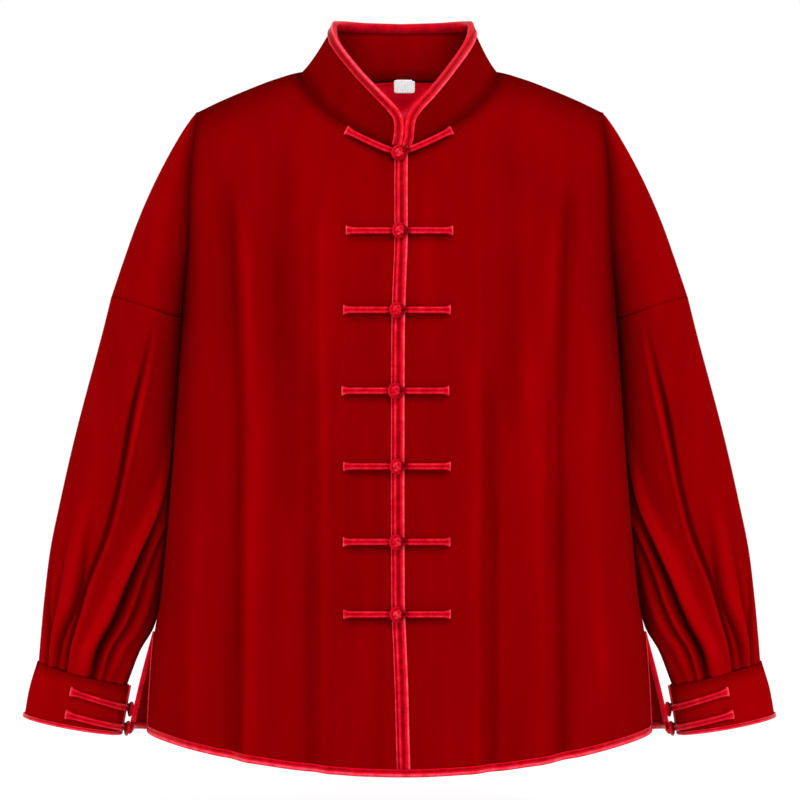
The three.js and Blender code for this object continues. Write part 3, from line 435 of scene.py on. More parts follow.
def body_points(face, x, z):
    """Points of the body's front or back face, and the painted shade and highlights of the nap on them."""
    x, z = np.broadcast_arrays(np.asarray(x, float), np.asarray(z, float))
    out = -1 if face == "front" else 1
    across = np.minimum(1, np.abs(x) / along(SIDE_EDGE, "z", face, z))
    full_round = np.sqrt(1 - across**SIDE_FULLNESS)
    held = np.where(z > UNDERARM_Z, along(ARM_FOLD, "z", "depth", z), 0)
    full = along(BODY_DEPTH, "z", face, z)
    slit_share = np.clip((SLIT_TOP_Z - z) / (SLIT_TOP_Z - HEM_SIDE_Z), 0, 1)
    parting = SLIT_PARTING * slit_share**SLIT_PARTING_POWER * across**SLIT_PARTING_REACH
    folds = run_down(FRONT_FOLDS if face == "front" else BACK_FOLDS, "height", x, z)
    folds = folds * np.minimum(1, FOLDS_TO_SIDE * full_round)
    depth = turned_over(ridge_z(x) - z) * (held + (full - held) * full_round) + parting + folds
    points = np.stack([x, out * np.maximum(depth, SEAM_GAP / 2), z], -1)
    # Painted shade on the shoulder tops, where the cloth turns up.
    turned_up = 1 - turned_over(ridge_z(x) - z)
    return points, body_shade_and_highlight(face, x, z, folds) - SHOULDER_TONE * turned_up


def upper_arm_points(face, side, row_z, across):
    """Points of the upper arm, from the fold beside the body (across 0) to its outer edge (1)."""
    out = -1 if face == "front" else 1
    share = (row_z - TIP_Z) / (UNDERARM_Z - TIP_Z)
    edge_z = lerp(TIP_Z, ARM_SEAM_Z, share)
    turned = turned_over(TIP_Z - row_z)
    bulge = along(UPPER_ARM_DEPTH, "z", "depth", row_z) * turned * np.sqrt(1 - (2 * across - 1) ** 2)
    held = along(ARM_FOLD, "z", "depth", row_z) * turned * np.sqrt(np.maximum(0, 1 - across**2))
    depth = np.cbrt(bulge**3 + held**3)
    x = side * lerp(along(SIDE_EDGE, "z", face, row_z), along(ARM_EDGE, "z", "x", edge_z), across)
    return np.stack([x, out * np.maximum(depth, SEAM_GAP / 2), lerp(row_z, edge_z, across)], -1)


ARM_ROWS = TIP_Z - (TIP_Z - UNDERARM_Z) * np.linspace(0, 1, 57) ** 1.5
BODY_ROWS = np.concatenate([
    ARM_ROWS, np.linspace(UNDERARM_Z, SLIT_TOP_Z, 79)[1:], np.linspace(SLIT_TOP_Z, HEM_SIDE_Z, 31)[1:],
])
NECK_COLUMNS, SHOULDER_COLUMNS, ARM_COLUMNS = 38, 52, 34
TO_NECK_POINT, TO_SIDE = 0.6, 1.7  # how strongly the columns close up towards the neck point and the side


def start_x(face, side, z):
    """Where a half body starts: at the set back front edge, or in the middle of the back."""
    return meet_x(z) + side * EDGE_SET_BACK if face == "front" else np.zeros(np.shape(z))


def column_shares(face, side):
    """Shares of the half width, with one column on the side neck point."""
    start = start_x(face, side, FRONT_NECK_Z)
    neck_share = (side * NECK_HALF - start) / (side * TIP_X - start)
    s = np.linspace(0, 1, NECK_COLUMNS + 1)
    neck = neck_share * lerp(s, np.sin(math.pi / 2 * s), TO_NECK_POINT)
    shoulder = lerp(neck_share, 1, 1 - (1 - np.linspace(0, 1, SHOULDER_COLUMNS + 1)[1:]) ** TO_SIDE)
    return np.concatenate([neck, shoulder])


def body_at(face, side, u, row_z):
    """Points of a half body, by shares of its half width and by rows named by their heights at the side."""
    top_x = lerp(start_x(face, side, FRONT_NECK_Z), side * TIP_X, u)
    top_z = np.where(np.abs(top_x) < NECK_HALF - 1e-6, neck_z(face, top_x), ridge_z(top_x))
    down = (row_z - TIP_Z) / (HEM_SIDE_Z - TIP_Z)
    z = lerp(top_z, hem_z(u), down)
    return body_points(face, lerp(start_x(face, side, z), side * along(SIDE_EDGE, "z", face, z), u), z)


def half_body(face, side):
    return body_at(face, side, *np.meshgrid(column_shares(face, side), BODY_ROWS))


def upper_arm(face, side):
    across, row_z = np.meshgrid((1 - np.cos(np.linspace(0, math.pi, ARM_COLUMNS + 1))) / 2, ARM_ROWS)
    points = upper_arm_points(face, side, row_z, across)
    # Painted shade in the crease beside the body.
    beside = np.abs(points[..., 0]) - along(SIDE_EDGE, "z", face, row_z)
    return points, -CREASE_TONE * np.exp(-((beside / SHADE_WIDTH) ** 2)) * smooth_step(-row_z, *CREASE_GROWS)


# ==== Cloth walls ====

def grid_faces(numbers, flipped):
    """Faces of a grid of point numbers; rows run down and columns to the viewer's right unless flipped."""
    upper, lower = numbers[:-1], numbers[1:]
    faces = np.stack([upper[:, :-1], lower[:, :-1], lower[:, 1:], upper[:, 1:]], -1).reshape(-1, 4)
    return faces[:, ::-1] if flipped else faces


def welded(grids):
    """Points, faces and tones of grids that share some of their edges."""
    points = np.concatenate([points.reshape(-1, 3) for (points, _), _ in grids])
    tones = np.concatenate([tones.ravel() for (_, tones), _ in grids])
    keys = np.round(points * 100).astype(int)
    _, first, place = np.unique(keys, axis=0, return_index=True, return_inverse=True)
    place = place.reshape(-1)
    faces, start = [], 0
    for (part, _), flipped in grids:
        size = part.shape[0] * part.shape[1]
        faces.append(grid_faces(place[start:start + size].reshape(part.shape[:2]), flipped))
        start += size
    return points[first], np.concatenate(faces), tones[first]


def point_normals(points, faces):
    a, b, c, d = (points[faces[:, k]] for k in range(4))
    area = np.cross(c - a, d - b)
    normals = np.zeros_like(points)
    for k in range(4):
        np.add.at(normals, faces[:, k], area)
    return normals / np.maximum(np.linalg.norm(normals, axis=1, keepdims=True), 1e-9)


def rim_edges(faces):
    """The edges that only one face uses, in that face's direction."""
    edges = np.concatenate([faces[:, [k, (k + 1) % 4]] for k in range(4)])
    edges = edges[edges[:, 0] != edges[:, 1]]
    used = set(map(tuple, edges.tolist()))
    return [(a, b) for a, b in used if (b, a) not in used]


def square_at_seams(points, normals):
    """Front and back meet edge to edge along shoulders and sides, so their walls are cut square there."""
    near = 0.05
    at_seam = np.abs(np.abs(points[:, 1]) - SEAM_GAP / 2) < near
    normals[at_seam, 1] = 0
    return normals / np.maximum(np.linalg.norm(normals, axis=1, keepdims=True), 1e-9)


def add_object(name, points, faces, finish, marks=None):
    """A mesh object from points in millimetres, with named values on its points for its finish to read."""
    mesh = bpy.data.meshes.new(name)
    mesh.from_pydata((points * MM).tolist(), [], [tuple(dict.fromkeys(face)) for face in faces])
    for mark, values in (marks or {}).items():
        mesh.attributes.new(mark, "FLOAT", "POINT").data.foreach_set("value", np.asarray(values, np.float32))
    mesh.materials.append(finish)
    mesh.polygons.foreach_set("use_smooth", [True] * len(mesh.polygons))
    mesh.update()
    piece = bpy.data.objects.new(name, mesh)
    bpy.context.scene.collection.objects.link(piece)
    return piece


def dress(piece, slot, *nodes):
    """Make a piece stand for its solids in the frame."""
    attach(piece, "root")
    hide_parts(*nodes)
    return piece


solids = {}  # outer faces of what the fastenings lie on


def wall_faces(faces, count):
    """The faces of a cloth's outer side, and of its whole wall; the inner side is numbered on from count."""
    outer = [list(dict.fromkeys(face)) for face in faces.tolist()]
    outer = [face for face in outer if len(face) > 2]
    inner = [[i + count for i in reversed(face)] for face in outer]
    rims = [(b, a, a + count, b + count) for a, b in rim_edges(faces)]
    return outer, outer + inner + rims


def add_cloth(name, node, grids, wall, square=False, inner_tones=None):
    """A closed wall of velvet, inwards from its outer side."""
    points, faces, tones = welded(grids)
    normals = point_normals(points, faces)
    if square:
        normals = square_at_seams(points, normals)
    count = len(points)
    outer, every = wall_faces(faces, count)
    solids[node] = (points, outer)
    inside = points - normals * wall
    inner_tones = INSIDE_TONE if inner_tones is None else inner_tones(inside)
    tones = np.concatenate([tones, np.broadcast_to(inner_tones, count)])
    piece = add_object(name, np.concatenate([points, inside]), every, VELVET, {"tone": tones})
    return dress(piece, "velvet", node)


# ==== Strips of cloth: bindings ====

NORMAL_STEP = 0.8  # how far in a margin looks to find which way the cloth faces


class Margin:
    """The cloth along an edge: points at any distance in from it, from lines that start on the edge."""

    def __init__(self, lines, inside=None):
        self.lines = lines
        steps = np.linalg.norm(np.diff(lines, axis=0), axis=2)
        self.lengths = np.concatenate([np.zeros((1, lines.shape[1])), np.cumsum(steps, axis=0)])
        self.inside = lines[0] * (0, 0, 1) if inside is None else inside

    def at(self, inwards):
        """Points at a distance in from the edge, one for each station; below 0 they lie past the edge."""
        placed = np.empty_like(self.lines[0])
        reach = np.full(len(placed), float(inwards))
        for k in range(len(placed)):
            for axis in range(3):
                placed[k, axis] = np.interp(max(reach[k], 0), self.lengths[:, k], self.lines[:, k, axis])
        first = self.lines[1] - self.lines[0]
        first /= np.maximum(np.linalg.norm(first, axis=1, keepdims=True), 1e-9)
        return placed + first * np.minimum(reach, 0)[:, None]

    def off(self, inwards, height):
        """Points at a distance in from the edge and a height off the cloth."""
        placed = self.at(inwards)
        inner = max(inwards, 0)
        inward_step = self.at(inner + NORMAL_STEP) - self.at(inner)
        normals = np.cross(np.gradient(placed, axis=0), inward_step)
        normals /= np.maximum(np.linalg.norm(normals, axis=1, keepdims=True), 1e-9)
        away = np.sum(normals * (placed - self.inside), axis=1, keepdims=True)
        return placed + normals * np.sign(away) * height


def carried_on(lines, reach):
    """Lines with their first and last stations moved out past the cloth."""
    lines = lines.copy()
    for end, beside in ((0, 1), (-1, -2)):
        step = lines[:, end] - lines[:, beside]
        lines[:, end] += step / np.linalg.norm(step, axis=1, keepdims=True) * reach
    return lines


# How bright the first eleven places of a binding's section are drawn, from its stitched side to its fold:
# painted highlight above 0, painted shade below. The right and left sets are lit more on one side.
EVEN_HIGHLIGHTS = (0.2, 0.5, 1, 0.7, 0, -0.1, 0.3, 0, 0.1, 0.7, 1)
HEM_HIGHLIGHTS = (0, 0.2, 0.4, 0, -0.2, -0.2, 0, 0.4, 0.9, 1, 0.8)
COLLAR_HIGHLIGHTS = {
    "right": (0, 0.4, 0.7, 0.1, -0.4, -0.5, -0.5, -0.3, 0.3, 1, 1),
    "left": (0.3, 0.9, 1, 1, 0.6, 0.1, -0.3, -0.4, -0.4, 0.1, 0.4),
}
FRONT_HIGHLIGHTS = {
    "right": (0.2, 0.7, 1, 0.5, -0.2, -0.4, -0.2, 0.3, 0.8, 0.6, -0.3),
    "left": (0.2, 0.8, 1, 1, 0.9, 0.6, 0.4, 0.2, 0, -0.3, -0.4),
}


def binding_profile(wall, leg, near):
    """The section of a folded satin strip round an edge: distances in from the edge, and heights."""
    far = near + BINDING_WALL
    return table(
        "inwards height",
        (leg, near), (leg * 1.02, far - 0.3), (leg * 0.95, far + 0.25), (leg * 0.86, far + 0.35),
        (leg * 0.74, far), (leg * 0.6, far - 0.15), (leg * 0.48, far + 0.05),
        (leg * 0.36, far - 0.1), (leg * 0.24, far), (leg * 0.12, far + 0.35),
        (-0.6, far + 0.3), (-far + 0.12, far - 0.15), (-far, -0.3), (-far, -wall),
        (-0.3, -wall - far), (leg, -wall - far), (leg, -wall - near), (0, -wall - near),
        (-near, -wall), (-near, 0), (0, near),
    )


def add_binding(name, node, lines, wall, leg=HEM_LEG, near=BINDING_LIFT, inside=None, ridges=EVEN_HIGHLIGHTS):
    """A binding round the edge that the lines start from."""
    margin = Margin(lines, inside)
    profile = binding_profile(wall, leg, near)
    rings = []
    for inwards, height in zip(profile["inwards"], profile["height"]):
        rings.append(margin.off(inwards, height))
    rings = np.stack(rings, 1)
    stations, size = rings.shape[:2]
    numbers = np.arange(stations * size).reshape(stations, size)
    wrapped = np.concatenate([numbers, numbers[:, :1]], 1)
    faces = grid_faces(wrapped, False).tolist() + [numbers[0].tolist(), numbers[-1, ::-1].tolist()]
    # The ridge mark: painted highlights and shade across the binding.
    marks = np.zeros((stations, size))
    marks[:, :len(EVEN_HIGHLIGHTS)] = ridges
    marks[:, len(EVEN_HIGHLIGHTS)] = 0.4 * marks[:, len(EVEN_HIGHLIGHTS) - 1]
    piece = add_object(name, rings.reshape(-1, 3), faces, SATIN, {"ridge": marks.ravel()})
    make_outward(piece)
    solids[node] = (rings.reshape(-1, 3), faces)
    return dress(piece, "satin", node)


def make_outward(piece):
    """Turn a closed mesh's faces out."""
    import bmesh
    shape = bmesh.new()
    shape.from_mesh(piece.data)
    bmesh.ops.recalc_face_normals(shape, faces=shape.faces)
    shape.to_mesh(piece.data)
    shape.free()


# ==== Cords ====

def smooth_path(points, step):
    """A path through points, evened out to about one step between its points."""
    points = np.asarray(points, float)
    lengths = np.concatenate([[0], np.cumsum(np.linalg.norm(np.diff(points, axis=0), axis=1))])
    rows = {"s": lengths, **{axis: points[:, k] for k, axis in enumerate("xyz")}}
    places = np.linspace(0, lengths[-1], int(lengths[-1] / step) + 1)
    return np.stack([along(rows, "s", axis, places) for axis in "xyz"], 1)


def cord(path, radius, sides=12, closed=False):
    """Points and faces of a round cord along a path, with turning frames that don't twist."""
    path = np.asarray(path, float)
    if closed:
        tangents = np.roll(path, -1, 0) - np.roll(path, 1, 0)
    else:
        tangents = np.gradient(path, axis=0)
    tangents /= np.linalg.norm(tangents, axis=1, keepdims=True)
    start = np.cross(tangents[0], (0.3, 0.5, 0.81))
    across = [start / np.linalg.norm(start)]
    for tangent in tangents[1:]:
        turned = across[-1] - tangent * np.dot(across[-1], tangent)
        across.append(turned / np.linalg.norm(turned))
    across = np.array(across)
    other = np.cross(tangents, across)
    twist = np.zeros(len(path))
    if closed:
        last = across[-1] - tangents[0] * np.dot(across[-1], tangents[0])
        total = math.atan2(np.dot(np.cross(last, across[0]), tangents[0]), np.dot(last, across[0]))
        twist = np.linspace(0, total, len(path))
    angles = np.linspace(0, 2 * math.pi, sides, endpoint=False)[None, :] + twist[:, None]
    radii = np.broadcast_to(radius, len(path))[:, None, None]
    rings = path[:, None] + radii * (
        across[:, None] * np.cos(angles)[..., None] + other[:, None] * np.sin(angles)[..., None]
    )
    numbers = np.arange(len(path) * sides).reshape(len(path), sides)
    wrapped = np.concatenate([numbers, numbers[:, :1]], 1)
    if closed:
        wrapped = np.concatenate([wrapped, wrapped[:1]])
    faces = grid_faces(wrapped, False).tolist()
    if not closed:
        faces += [numbers[0].tolist(), numbers[-1, ::-1].tolist()]
    return rings.reshape(-1, 3), faces


def joined(parts):
    """Several point and face lists as one."""
    points, faces, start = [], [], 0
    for part_points, part_faces in parts:
        points.append(part_points)
        faces += [[start + i for i in face] for face in part_faces]
        start += len(part_points)
    return np.concatenate(points), faces


# Fastenings are drawn in the bar's own measure: s along it from the knot, w across it and h above the cloth.
# Half of a bar's section, as shares of its half width and its height, and the painted highlight (above 0) or
# painted shade at each place.
BAR_SECTION = table(
    "w h ridge",
    (0, 0.9, -0.1), (0.22, 0.94, 0), (0.42, 1, 0.3), (0.58, 1, 0.8), (0.78, 0.9, 0.3), (0.94, 0.66, -0.2),
    (1, 0.35, -0.5), (0.9, 0.05, -0.6), (0.5, 0, -0.6),
)


def frog_bar(start, end):
    """A rolled strip from beside the knot out to its wider, squared end. Gives points, faces and marks of
    painted highlight and shade.
    """
    w = np.concatenate([BAR_SECTION["w"], [0], -BAR_SECTION["w"][:0:-1]])
    h = np.concatenate([BAR_SECTION["h"], [0], BAR_SECTION["h"][:0:-1]])
    ridge = np.concatenate([BAR_SECTION["ridge"], [-0.6], BAR_SECTION["ridge"][:0:-1]])
    shares = np.concatenate([[0, 0.004, 0.012, 0.03, 0.05], np.linspace(0.075, 0.97, 40), [0.99, 1]])
    near_end = np.interp(shares, (0, 0.004, 0.012, 0.03), (0.78, 0.93, 0.99, 1))
    near_knot = np.interp(shares, (0.86, 0.97, 1), (1, 0.82, 0.5))
    size = (1 + (BAR_FLARE - 1) * (1 - smooth_step(shares, 0, BAR_FLARE_SHARE))) * near_end * near_knot
    thick = (1 + 0.12 * (1 - smooth_step(shares, 0, BAR_FLARE_SHARE))) * near_end * near_knot
    s = lerp(end, start, shares)
    points = np.stack(np.broadcast_arrays(
        s[:, None], BAR_HALF_WIDTH * size[:, None] * w, BAR_LIFT + BAR_HEIGHT * thick[:, None] * h), -1)
    # Painted highlight on the squared end, and painted shadow close to the knot.
    end_highlight = 1 - smooth_step(shares, 0.015, 0.045)
    ridges = lerp(ridge[None, :], 0.9, end_highlight[:, None]) - 0.8 * smooth_step(shares, 0.84, 1)[:, None]
    numbers = np.arange(points.shape[0] * points.shape[1]).reshape(points.shape[:2])
    faces = grid_faces(np.concatenate([numbers, numbers[:, :1]], 1), False).tolist()
    faces += [numbers[0].tolist(), numbers[-1, ::-1].tolist()]
    return points.reshape(-1, 3), faces, ridges.ravel()


def lit_top_shaded_foot(points, faces):
    """A round cord's or ball's marks: painted highlight on its top and painted shadow at its foot."""
    rise = (points[:, 2] - BAR_LIFT) / (KNOT_HEIGHT + 3)
    return points, faces, np.clip(1.6 * rise - 0.9, -0.6, 0.7)


def knot_ball():
    """A button knot: one cord three times round a ball, over and under itself in four bights."""
    turns, bights = 3, 4
    t = np.linspace(0, 2 * math.pi, 132, endpoint=False)
    radius = KNOT_RADIUS + KNOT_OVER_UNDER * np.sin(2 * bights * t)
    rise = KNOT_RISE * np.sin(bights * t)
    path = np.stack([
        KNOT_LENGTH * radius * np.sin(rise),
        KNOT_WIDTH * radius * np.cos(rise) * np.cos(turns * t),
        KNOT_HEIGHT + radius * np.cos(rise) * np.sin(turns * t),
    ], 1)
    core = np.stack([np.linspace(-KNOT_CORE, KNOT_CORE, 9), np.zeros(9), np.full(9, KNOT_HEIGHT)], 1)
    core_radius = np.sqrt(np.maximum(0.01, KNOT_CORE**2 - core[:, 0] ** 2))
    return lit_top_shaded_foot(*joined([cord(path, KNOT_CORD, 10, closed=True), cord(core, core_radius, 12)]))


def loop_ring():
    """The loop's cord, out of its bar, slanting round the knot and back."""
    ring = [
        (
            LOOP_RADIUS * math.cos(a) * math.cos(LOOP_TILT),
            LOOP_RADIUS * math.sin(a),
            KNOT_HEIGHT - LOOP_DROP - LOOP_RADIUS * math.cos(a) * math.sin(LOOP_TILT),
        )
        for a in np.radians(np.linspace(LOOP_OPENING, 360 - LOOP_OPENING, 17))
    ]
    tails = [(11, 1.4, 2.2), (8.6, 1.7, 2.4)]
    path = tails + ring + [(s, -w, h) for s, w, h in reversed(tails)]
    return lit_top_shaded_foot(*cord(smooth_path(path, 0.8), CORD_RADIUS))


def add_frog(name, lay, reach):
    """A knot piece and a loop piece, laid on the cloth by a function from (s, w, h) to the frame."""
    halves = {
        "knot": [frog_bar(KNOT_BAR_START, -reach), knot_ball()],
        "loop": [frog_bar(LOOP_BAR_START, reach), loop_ring()],
    }
    for part, shapes in halves.items():
        points, faces = joined([shape[:2] for shape in shapes])
        marks = {"ridge": np.concatenate([shape[2] for shape in shapes])}
        piece = add_object(f"{name}_{part}_cord", lay(*points.T), faces, CORD, marks)
        make_outward(piece)
        dress(piece, "cord", f"{name}_{part}")


# ==== Finishes ====

def colour(red, green, blue):
    """A linear colour from its values on a screen, 0 to 255."""
    def linear(value):
        value /= 255
        return value / 12.92 if value <= 0.04045 else ((value + 0.055) / 1.055) ** 2.4
    return (linear(red), linear(green), linear(blue), 1)


class Value:
    """A shader socket that can be added, subtracted, multiplied and raised like a number."""

    def __init__(self, finish, socket):
        self.finish, self.socket = finish, socket

    def math(self, operation, first, second):
        return self.finish.node("ShaderNodeMath", {"operation": operation}, {0: first, 1: second})

    def __add__(self, other):
        return self.math("ADD", self, other)

    def __mul__(self, other):
        return self.math("MULTIPLY", self, other)

    def __sub__(self, other):
        return self.math("SUBTRACT", self, other)

    def __rsub__(self, other):
        return self.math("SUBTRACT", other, self)

    __radd__ = __add__
    __rmul__ = __mul__


class Finish:
    """A material made of nodes."""

    def __init__(self, name, **fixed):
        self.material = bpy.data.materials.new(name)
        self.material.use_nodes = True
        self.tree = self.material.node_tree
        self.surface = self.tree.nodes["Principled BSDF"]
        for socket, value in fixed.items():
            self.surface.inputs[socket.replace("_", " ")].default_value = value

    def node(self, kind, settings=None, inputs=None, output=0):
        """Any node: its settings are set first, then the values or links of its sockets."""
        made = self.tree.nodes.new(kind)
        for setting, value in (settings or {}).items():
            if setting == "stops":
                self.set_stops(made.color_ramp, value)
            else:
                setattr(made, setting, value)
        for socket, value in (inputs or {}).items():
            if isinstance(value, Value):
                self.tree.links.new(value.socket, made.inputs[socket])
            else:
                made.inputs[socket].default_value = value
        return Value(self, made.outputs[output])

    def set_stops(self, ramp, stops):
        while len(ramp.elements) < len(stops):
            ramp.elements.new(0.5)
        for element, (place, shade) in zip(ramp.elements, stops):
            element.position = place
            element.color = shade

    def feed(self, socket, value):
        self.tree.links.new(value.socket, self.surface.inputs[socket])

    def place(self):
        return self.node("ShaderNodeTexCoord", output="Object")

    def mark(self, name):
        return self.node("ShaderNodeAttribute", {"attribute_name": name}, output="Fac")

    def noise(self, scale, detail=2.0, rough=0.5, stretch=(1, 1, 1)):
        place = self.node("ShaderNodeVectorMath", {"operation": "MULTIPLY"}, {0: self.place(), 1: stretch})
        sockets = {"Vector": place, "Scale": scale, "Detail": detail, "Roughness": rough}
        return self.node("ShaderNodeTexNoise", {}, sockets)

    def span(self, value, low, high, to_low=0.0, to_high=1.0):
        return self.node(
            "ShaderNodeMapRange", {"interpolation_type": "SMOOTHSTEP"},
            {"Value": value, "From Min": low, "From Max": high, "To Min": to_low, "To Max": to_high},
        )

    def mix(self, share, first, second):
        """One colour blended into another: sockets 6 and 7 are a Mix node's colours, and 2 is its result."""
        sockets = {"Factor": share, 6: first, 7: second}
        return self.node("ShaderNodeMix", {"data_type": "RGBA"}, sockets, output=2)

    def bump(self, height, strength, distance):
        sockets = {"Height": height, "Strength": strength, "Distance": distance}
        self.feed("Normal", self.node("ShaderNodeBump", {}, sockets))


def velvet():
    """Short dense pile with a brushed nap, coloured by its tone mark: painted shade in folds and creases,
    painted highlights on ridges.
    """
    sheen = {"Sheen_Weight": 0.06, "Sheen_Roughness": 0.5, "Sheen_Tint": (1, 0.02, 0.02, 1)}
    finish = Finish("velvet", Specular_IOR_Level=0.0, **sheen)
    nap = finish.noise(30, 3, 0.55, (1, 1, 0.16))
    clouds = finish.noise(9, 2, 0.5)
    tone = finish.mark("tone") + (nap - 0.5) * 0.3 + (clouds - 0.5) * 0.16
    shade = finish.node(
        "ShaderNodeValToRGB", {
            "stops": [
                (0.1, colour(*VELVET_DEEP)), (0.35, colour(*VELVET_DARK)), (0.6, colour(*VELVET_RED)),
                (0.85, colour(*VELVET_BRIGHT)),
            ],
        },
        {"Fac": tone * 0.5 + 0.6},
    )
    pile = finish.noise(1300, 2, 0.7)
    tips = finish.span(pile, 0.35, 0.75, 0, 0.12)
    finish.feed("Base Color", finish.mix(tips, shade, colour(*VELVET_BRIGHT)))
    finish.feed("Roughness", finish.span(nap, 0.3, 0.7, 0.78, 0.95))
    finish.bump(pile * 0.4 + nap, 0.3, 0.0006)
    return finish.material


def satin(name, low, middle, high, bright_from):
    """Glossy bias-cut satin with a fine slanting weave; its ridge mark paints highlights on the folded edges
    and shade in the grooves.
    """
    finish = Finish(name, Specular_IOR_Level=0.22, Specular_Tint=colour(255, 60, 85))
    weave = finish.node(
        "ShaderNodeTexWave", {"wave_type": "BANDS", "bands_direction": "DIAGONAL"},
        {"Vector": finish.place(), "Scale": 900, "Distortion": 0.6, "Detail": 1},
    )
    crease = finish.noise(140, 3, 0.6)
    # Painted shade to painted highlight, picked by the ridge mark.
    shade = finish.node(
        "ShaderNodeValToRGB", {"stops": [(0.12, low), (0.4, middle), (bright_from, middle), (1.0, high)]},
        {"Fac": finish.mark("ridge") * 0.5 + 0.3 + (crease - 0.5) * 0.5},
    )
    finish.feed("Base Color", shade)
    finish.feed("Roughness", finish.span(crease, 0.3, 0.7, 0.26, 0.4))
    finish.bump(weave * 0.2 + crease, 0.45, 0.0007)
    return finish.material


def lining_satin():
    """Soft lining cloth with loose ripples, with painted shade under the collar and a painted glow in its own
    colour.
    """
    finish = Finish("lining", Specular_IOR_Level=0.3, Specular_Tint=colour(255, 70, 95), Roughness=0.4)
    finish.surface.inputs["Emission Strength"].default_value = LINING_GLOW
    ripple = finish.noise(45, 2, 0.5, (1, 1, 0.5))
    # Painted shade, the lining's own crimson and painted highlight, picked by the tone mark.
    shade = finish.node(
        "ShaderNodeValToRGB",
        {"stops": [(0.0, colour(90, 0, 6)), (0.5, colour(208, 0, 26)), (1.0, colour(255, 50, 76))]},
        {"Fac": finish.mark("tone") * 0.5 + 0.5 + (ripple - 0.5) * 0.35},
    )
    finish.feed("Base Color", shade)
    # Painted light: the lining glows in its own colour, though it is no lamp.
    finish.feed("Emission Color", shade)
    finish.bump(ripple, 0.5, 0.003)
    return finish.material


def woven_label():
    """A blank off-white tape with a fine cross weave and a faint painted glow."""
    finish = Finish("label", Roughness=0.75, Emission_Color=(1, 1, 1, 1), Emission_Strength=LABEL_GLOW)
    weave = finish.node(
        "ShaderNodeTexWave", {"wave_type": "BANDS", "bands_direction": "X"},
        {"Vector": finish.place(), "Scale": 700, "Distortion": 0.4},
    )
    cross = finish.node(
        "ShaderNodeTexWave", {"wave_type": "BANDS", "bands_direction": "Z"},
        {"Vector": finish.place(), "Scale": 700, "Distortion": 0.4},
    )
    cloth = weave * 0.5 + cross * 0.5
    finish.feed("Base Color", finish.mix(cloth * 0.35, colour(255, 255, 254), colour(240, 239, 237)))
    finish.bump(cloth, 0.3, 0.0003)
    return finish.material


LINING_GLOW, LABEL_GLOW = 0.5, 0.14  # painted light: faint glows that brighten the lining and label where they lie in shade inside the neck
# The velvet's colours from deepest painted shade to brightest painted highlight; the brightest also tips the
# pile.
VELVET_DEEP = (34, 0, 0)
VELVET_DARK = (80, 0, 0)
VELVET_RED = (126, 0, 2)
VELVET_BRIGHT = (174, 0, 8)
VELVET = velvet()
# Satin and cord colours: painted shade, the cloth's own red, painted highlight.
SATIN = satin("satin", colour(128, 0, 8), colour(208, 4, 28), colour(255, 96, 116), 0.62)
CORD = satin("cord", colour(110, 0, 6), colour(196, 4, 26), colour(255, 92, 112), 0.6)
LINING = lining_satin()
LABEL = woven_label()

# ==== The jacket's panels ====

SIDES = {"right": -1, "left": 1}


HEM_COVER = HEM_LEG + SEAM_GAP  # what a hem's binding takes of the edges that reach it
EDGE_SHARE = 0.06  # the share of a front's width that its edge's binding may reach over
HEM_MARGIN = 14  # the height of the cloth that a hem's binding may reach over


def make_fronts():
    """Each front with its upper arm, and its three bindings."""
    for name, side in SIDES.items():
        flipped = side < 0
        panel = add_cloth(
            f"front_panel_{name}", f"front_{name}",
            [(half_body("front", side), flipped), (upper_arm("front", side), flipped)],
            VELVET_WALL, square=True,
        )
        inwards = np.linspace(0, EDGE_SHARE, 12)[:, None]
        rows = np.linspace(TIP_Z, HEM_SIDE_Z + HEM_COVER * 0.98, 150)[None, :]
        lines, _ = body_at("front", side, inwards, rows)
        edge = add_binding(
            f"front_edge_{name}", f"binding_front_{name}", lines, VELVET_WALL, FRONT_LEG,
            ridges=FRONT_HIGHLIGHTS[name],
        )
        hem = hem_binding("front", name, side)
        slit = slit_binding("front", name, side)


def hem_lines(face, side):
    """Lines up from the hem, closer together towards the side."""
    rise = np.linspace(0, HEM_MARGIN, 12)[:, None]
    u = 1 - (1 - np.linspace(0, 1, 110)[None, :]) ** 1.6
    z = hem_z(u) + rise
    x = lerp(start_x(face, side, z), side * along(SIDE_EDGE, "z", face, z), u)
    lines, _ = body_points(face, x, z)
    return lines


def hem_binding(face, name, side):
    lines = carried_on(hem_lines(face, side), BINDING_FAR)
    node = f"binding_hem_{face}_{name}"
    return add_binding(f"{face}_hem_{name}", node, lines, VELVET_WALL, ridges=HEM_HIGHLIGHTS)


def slit_binding(face, name, side):
    """A binding along one edge of a side slit, from just under the slit's top to the hem's binding."""
    share = 1 - 0.12 * np.linspace(0, 1, 40)[:, None] ** 2
    rows = np.linspace(SLIT_TOP_Z - SLIT_BINDING_DROP, HEM_SIDE_Z + HEM_COVER, 44)[None, :]
    lines, _ = body_at(face, side, share, rows)
    return add_binding(f"{face}_slit_{name}", f"binding_slit_{face}_{name}", lines, VELVET_WALL)


def make_back():
    """The back with both upper arms, its hem and slit bindings, and the lining under the collar."""
    grids = []
    for side in SIDES.values():
        grids += [(half_body("back", side), side > 0), (upper_arm("back", side), side > 0)]
    panel = add_cloth("back_panel", "back", grids, VELVET_WALL, square=True)
    right, left = (hem_lines("back", side) for side in SIDES.values())
    lines = carried_on(np.concatenate([right[:, ::-1], left[:, 1:]], 1), BINDING_FAR)
    hem = add_binding("back_hem", "binding_hem_back", lines, VELVET_WALL, ridges=HEM_HIGHLIGHTS)
    slits = [slit_binding("back", name, side) for name, side in SIDES.items()]
    make_lining()


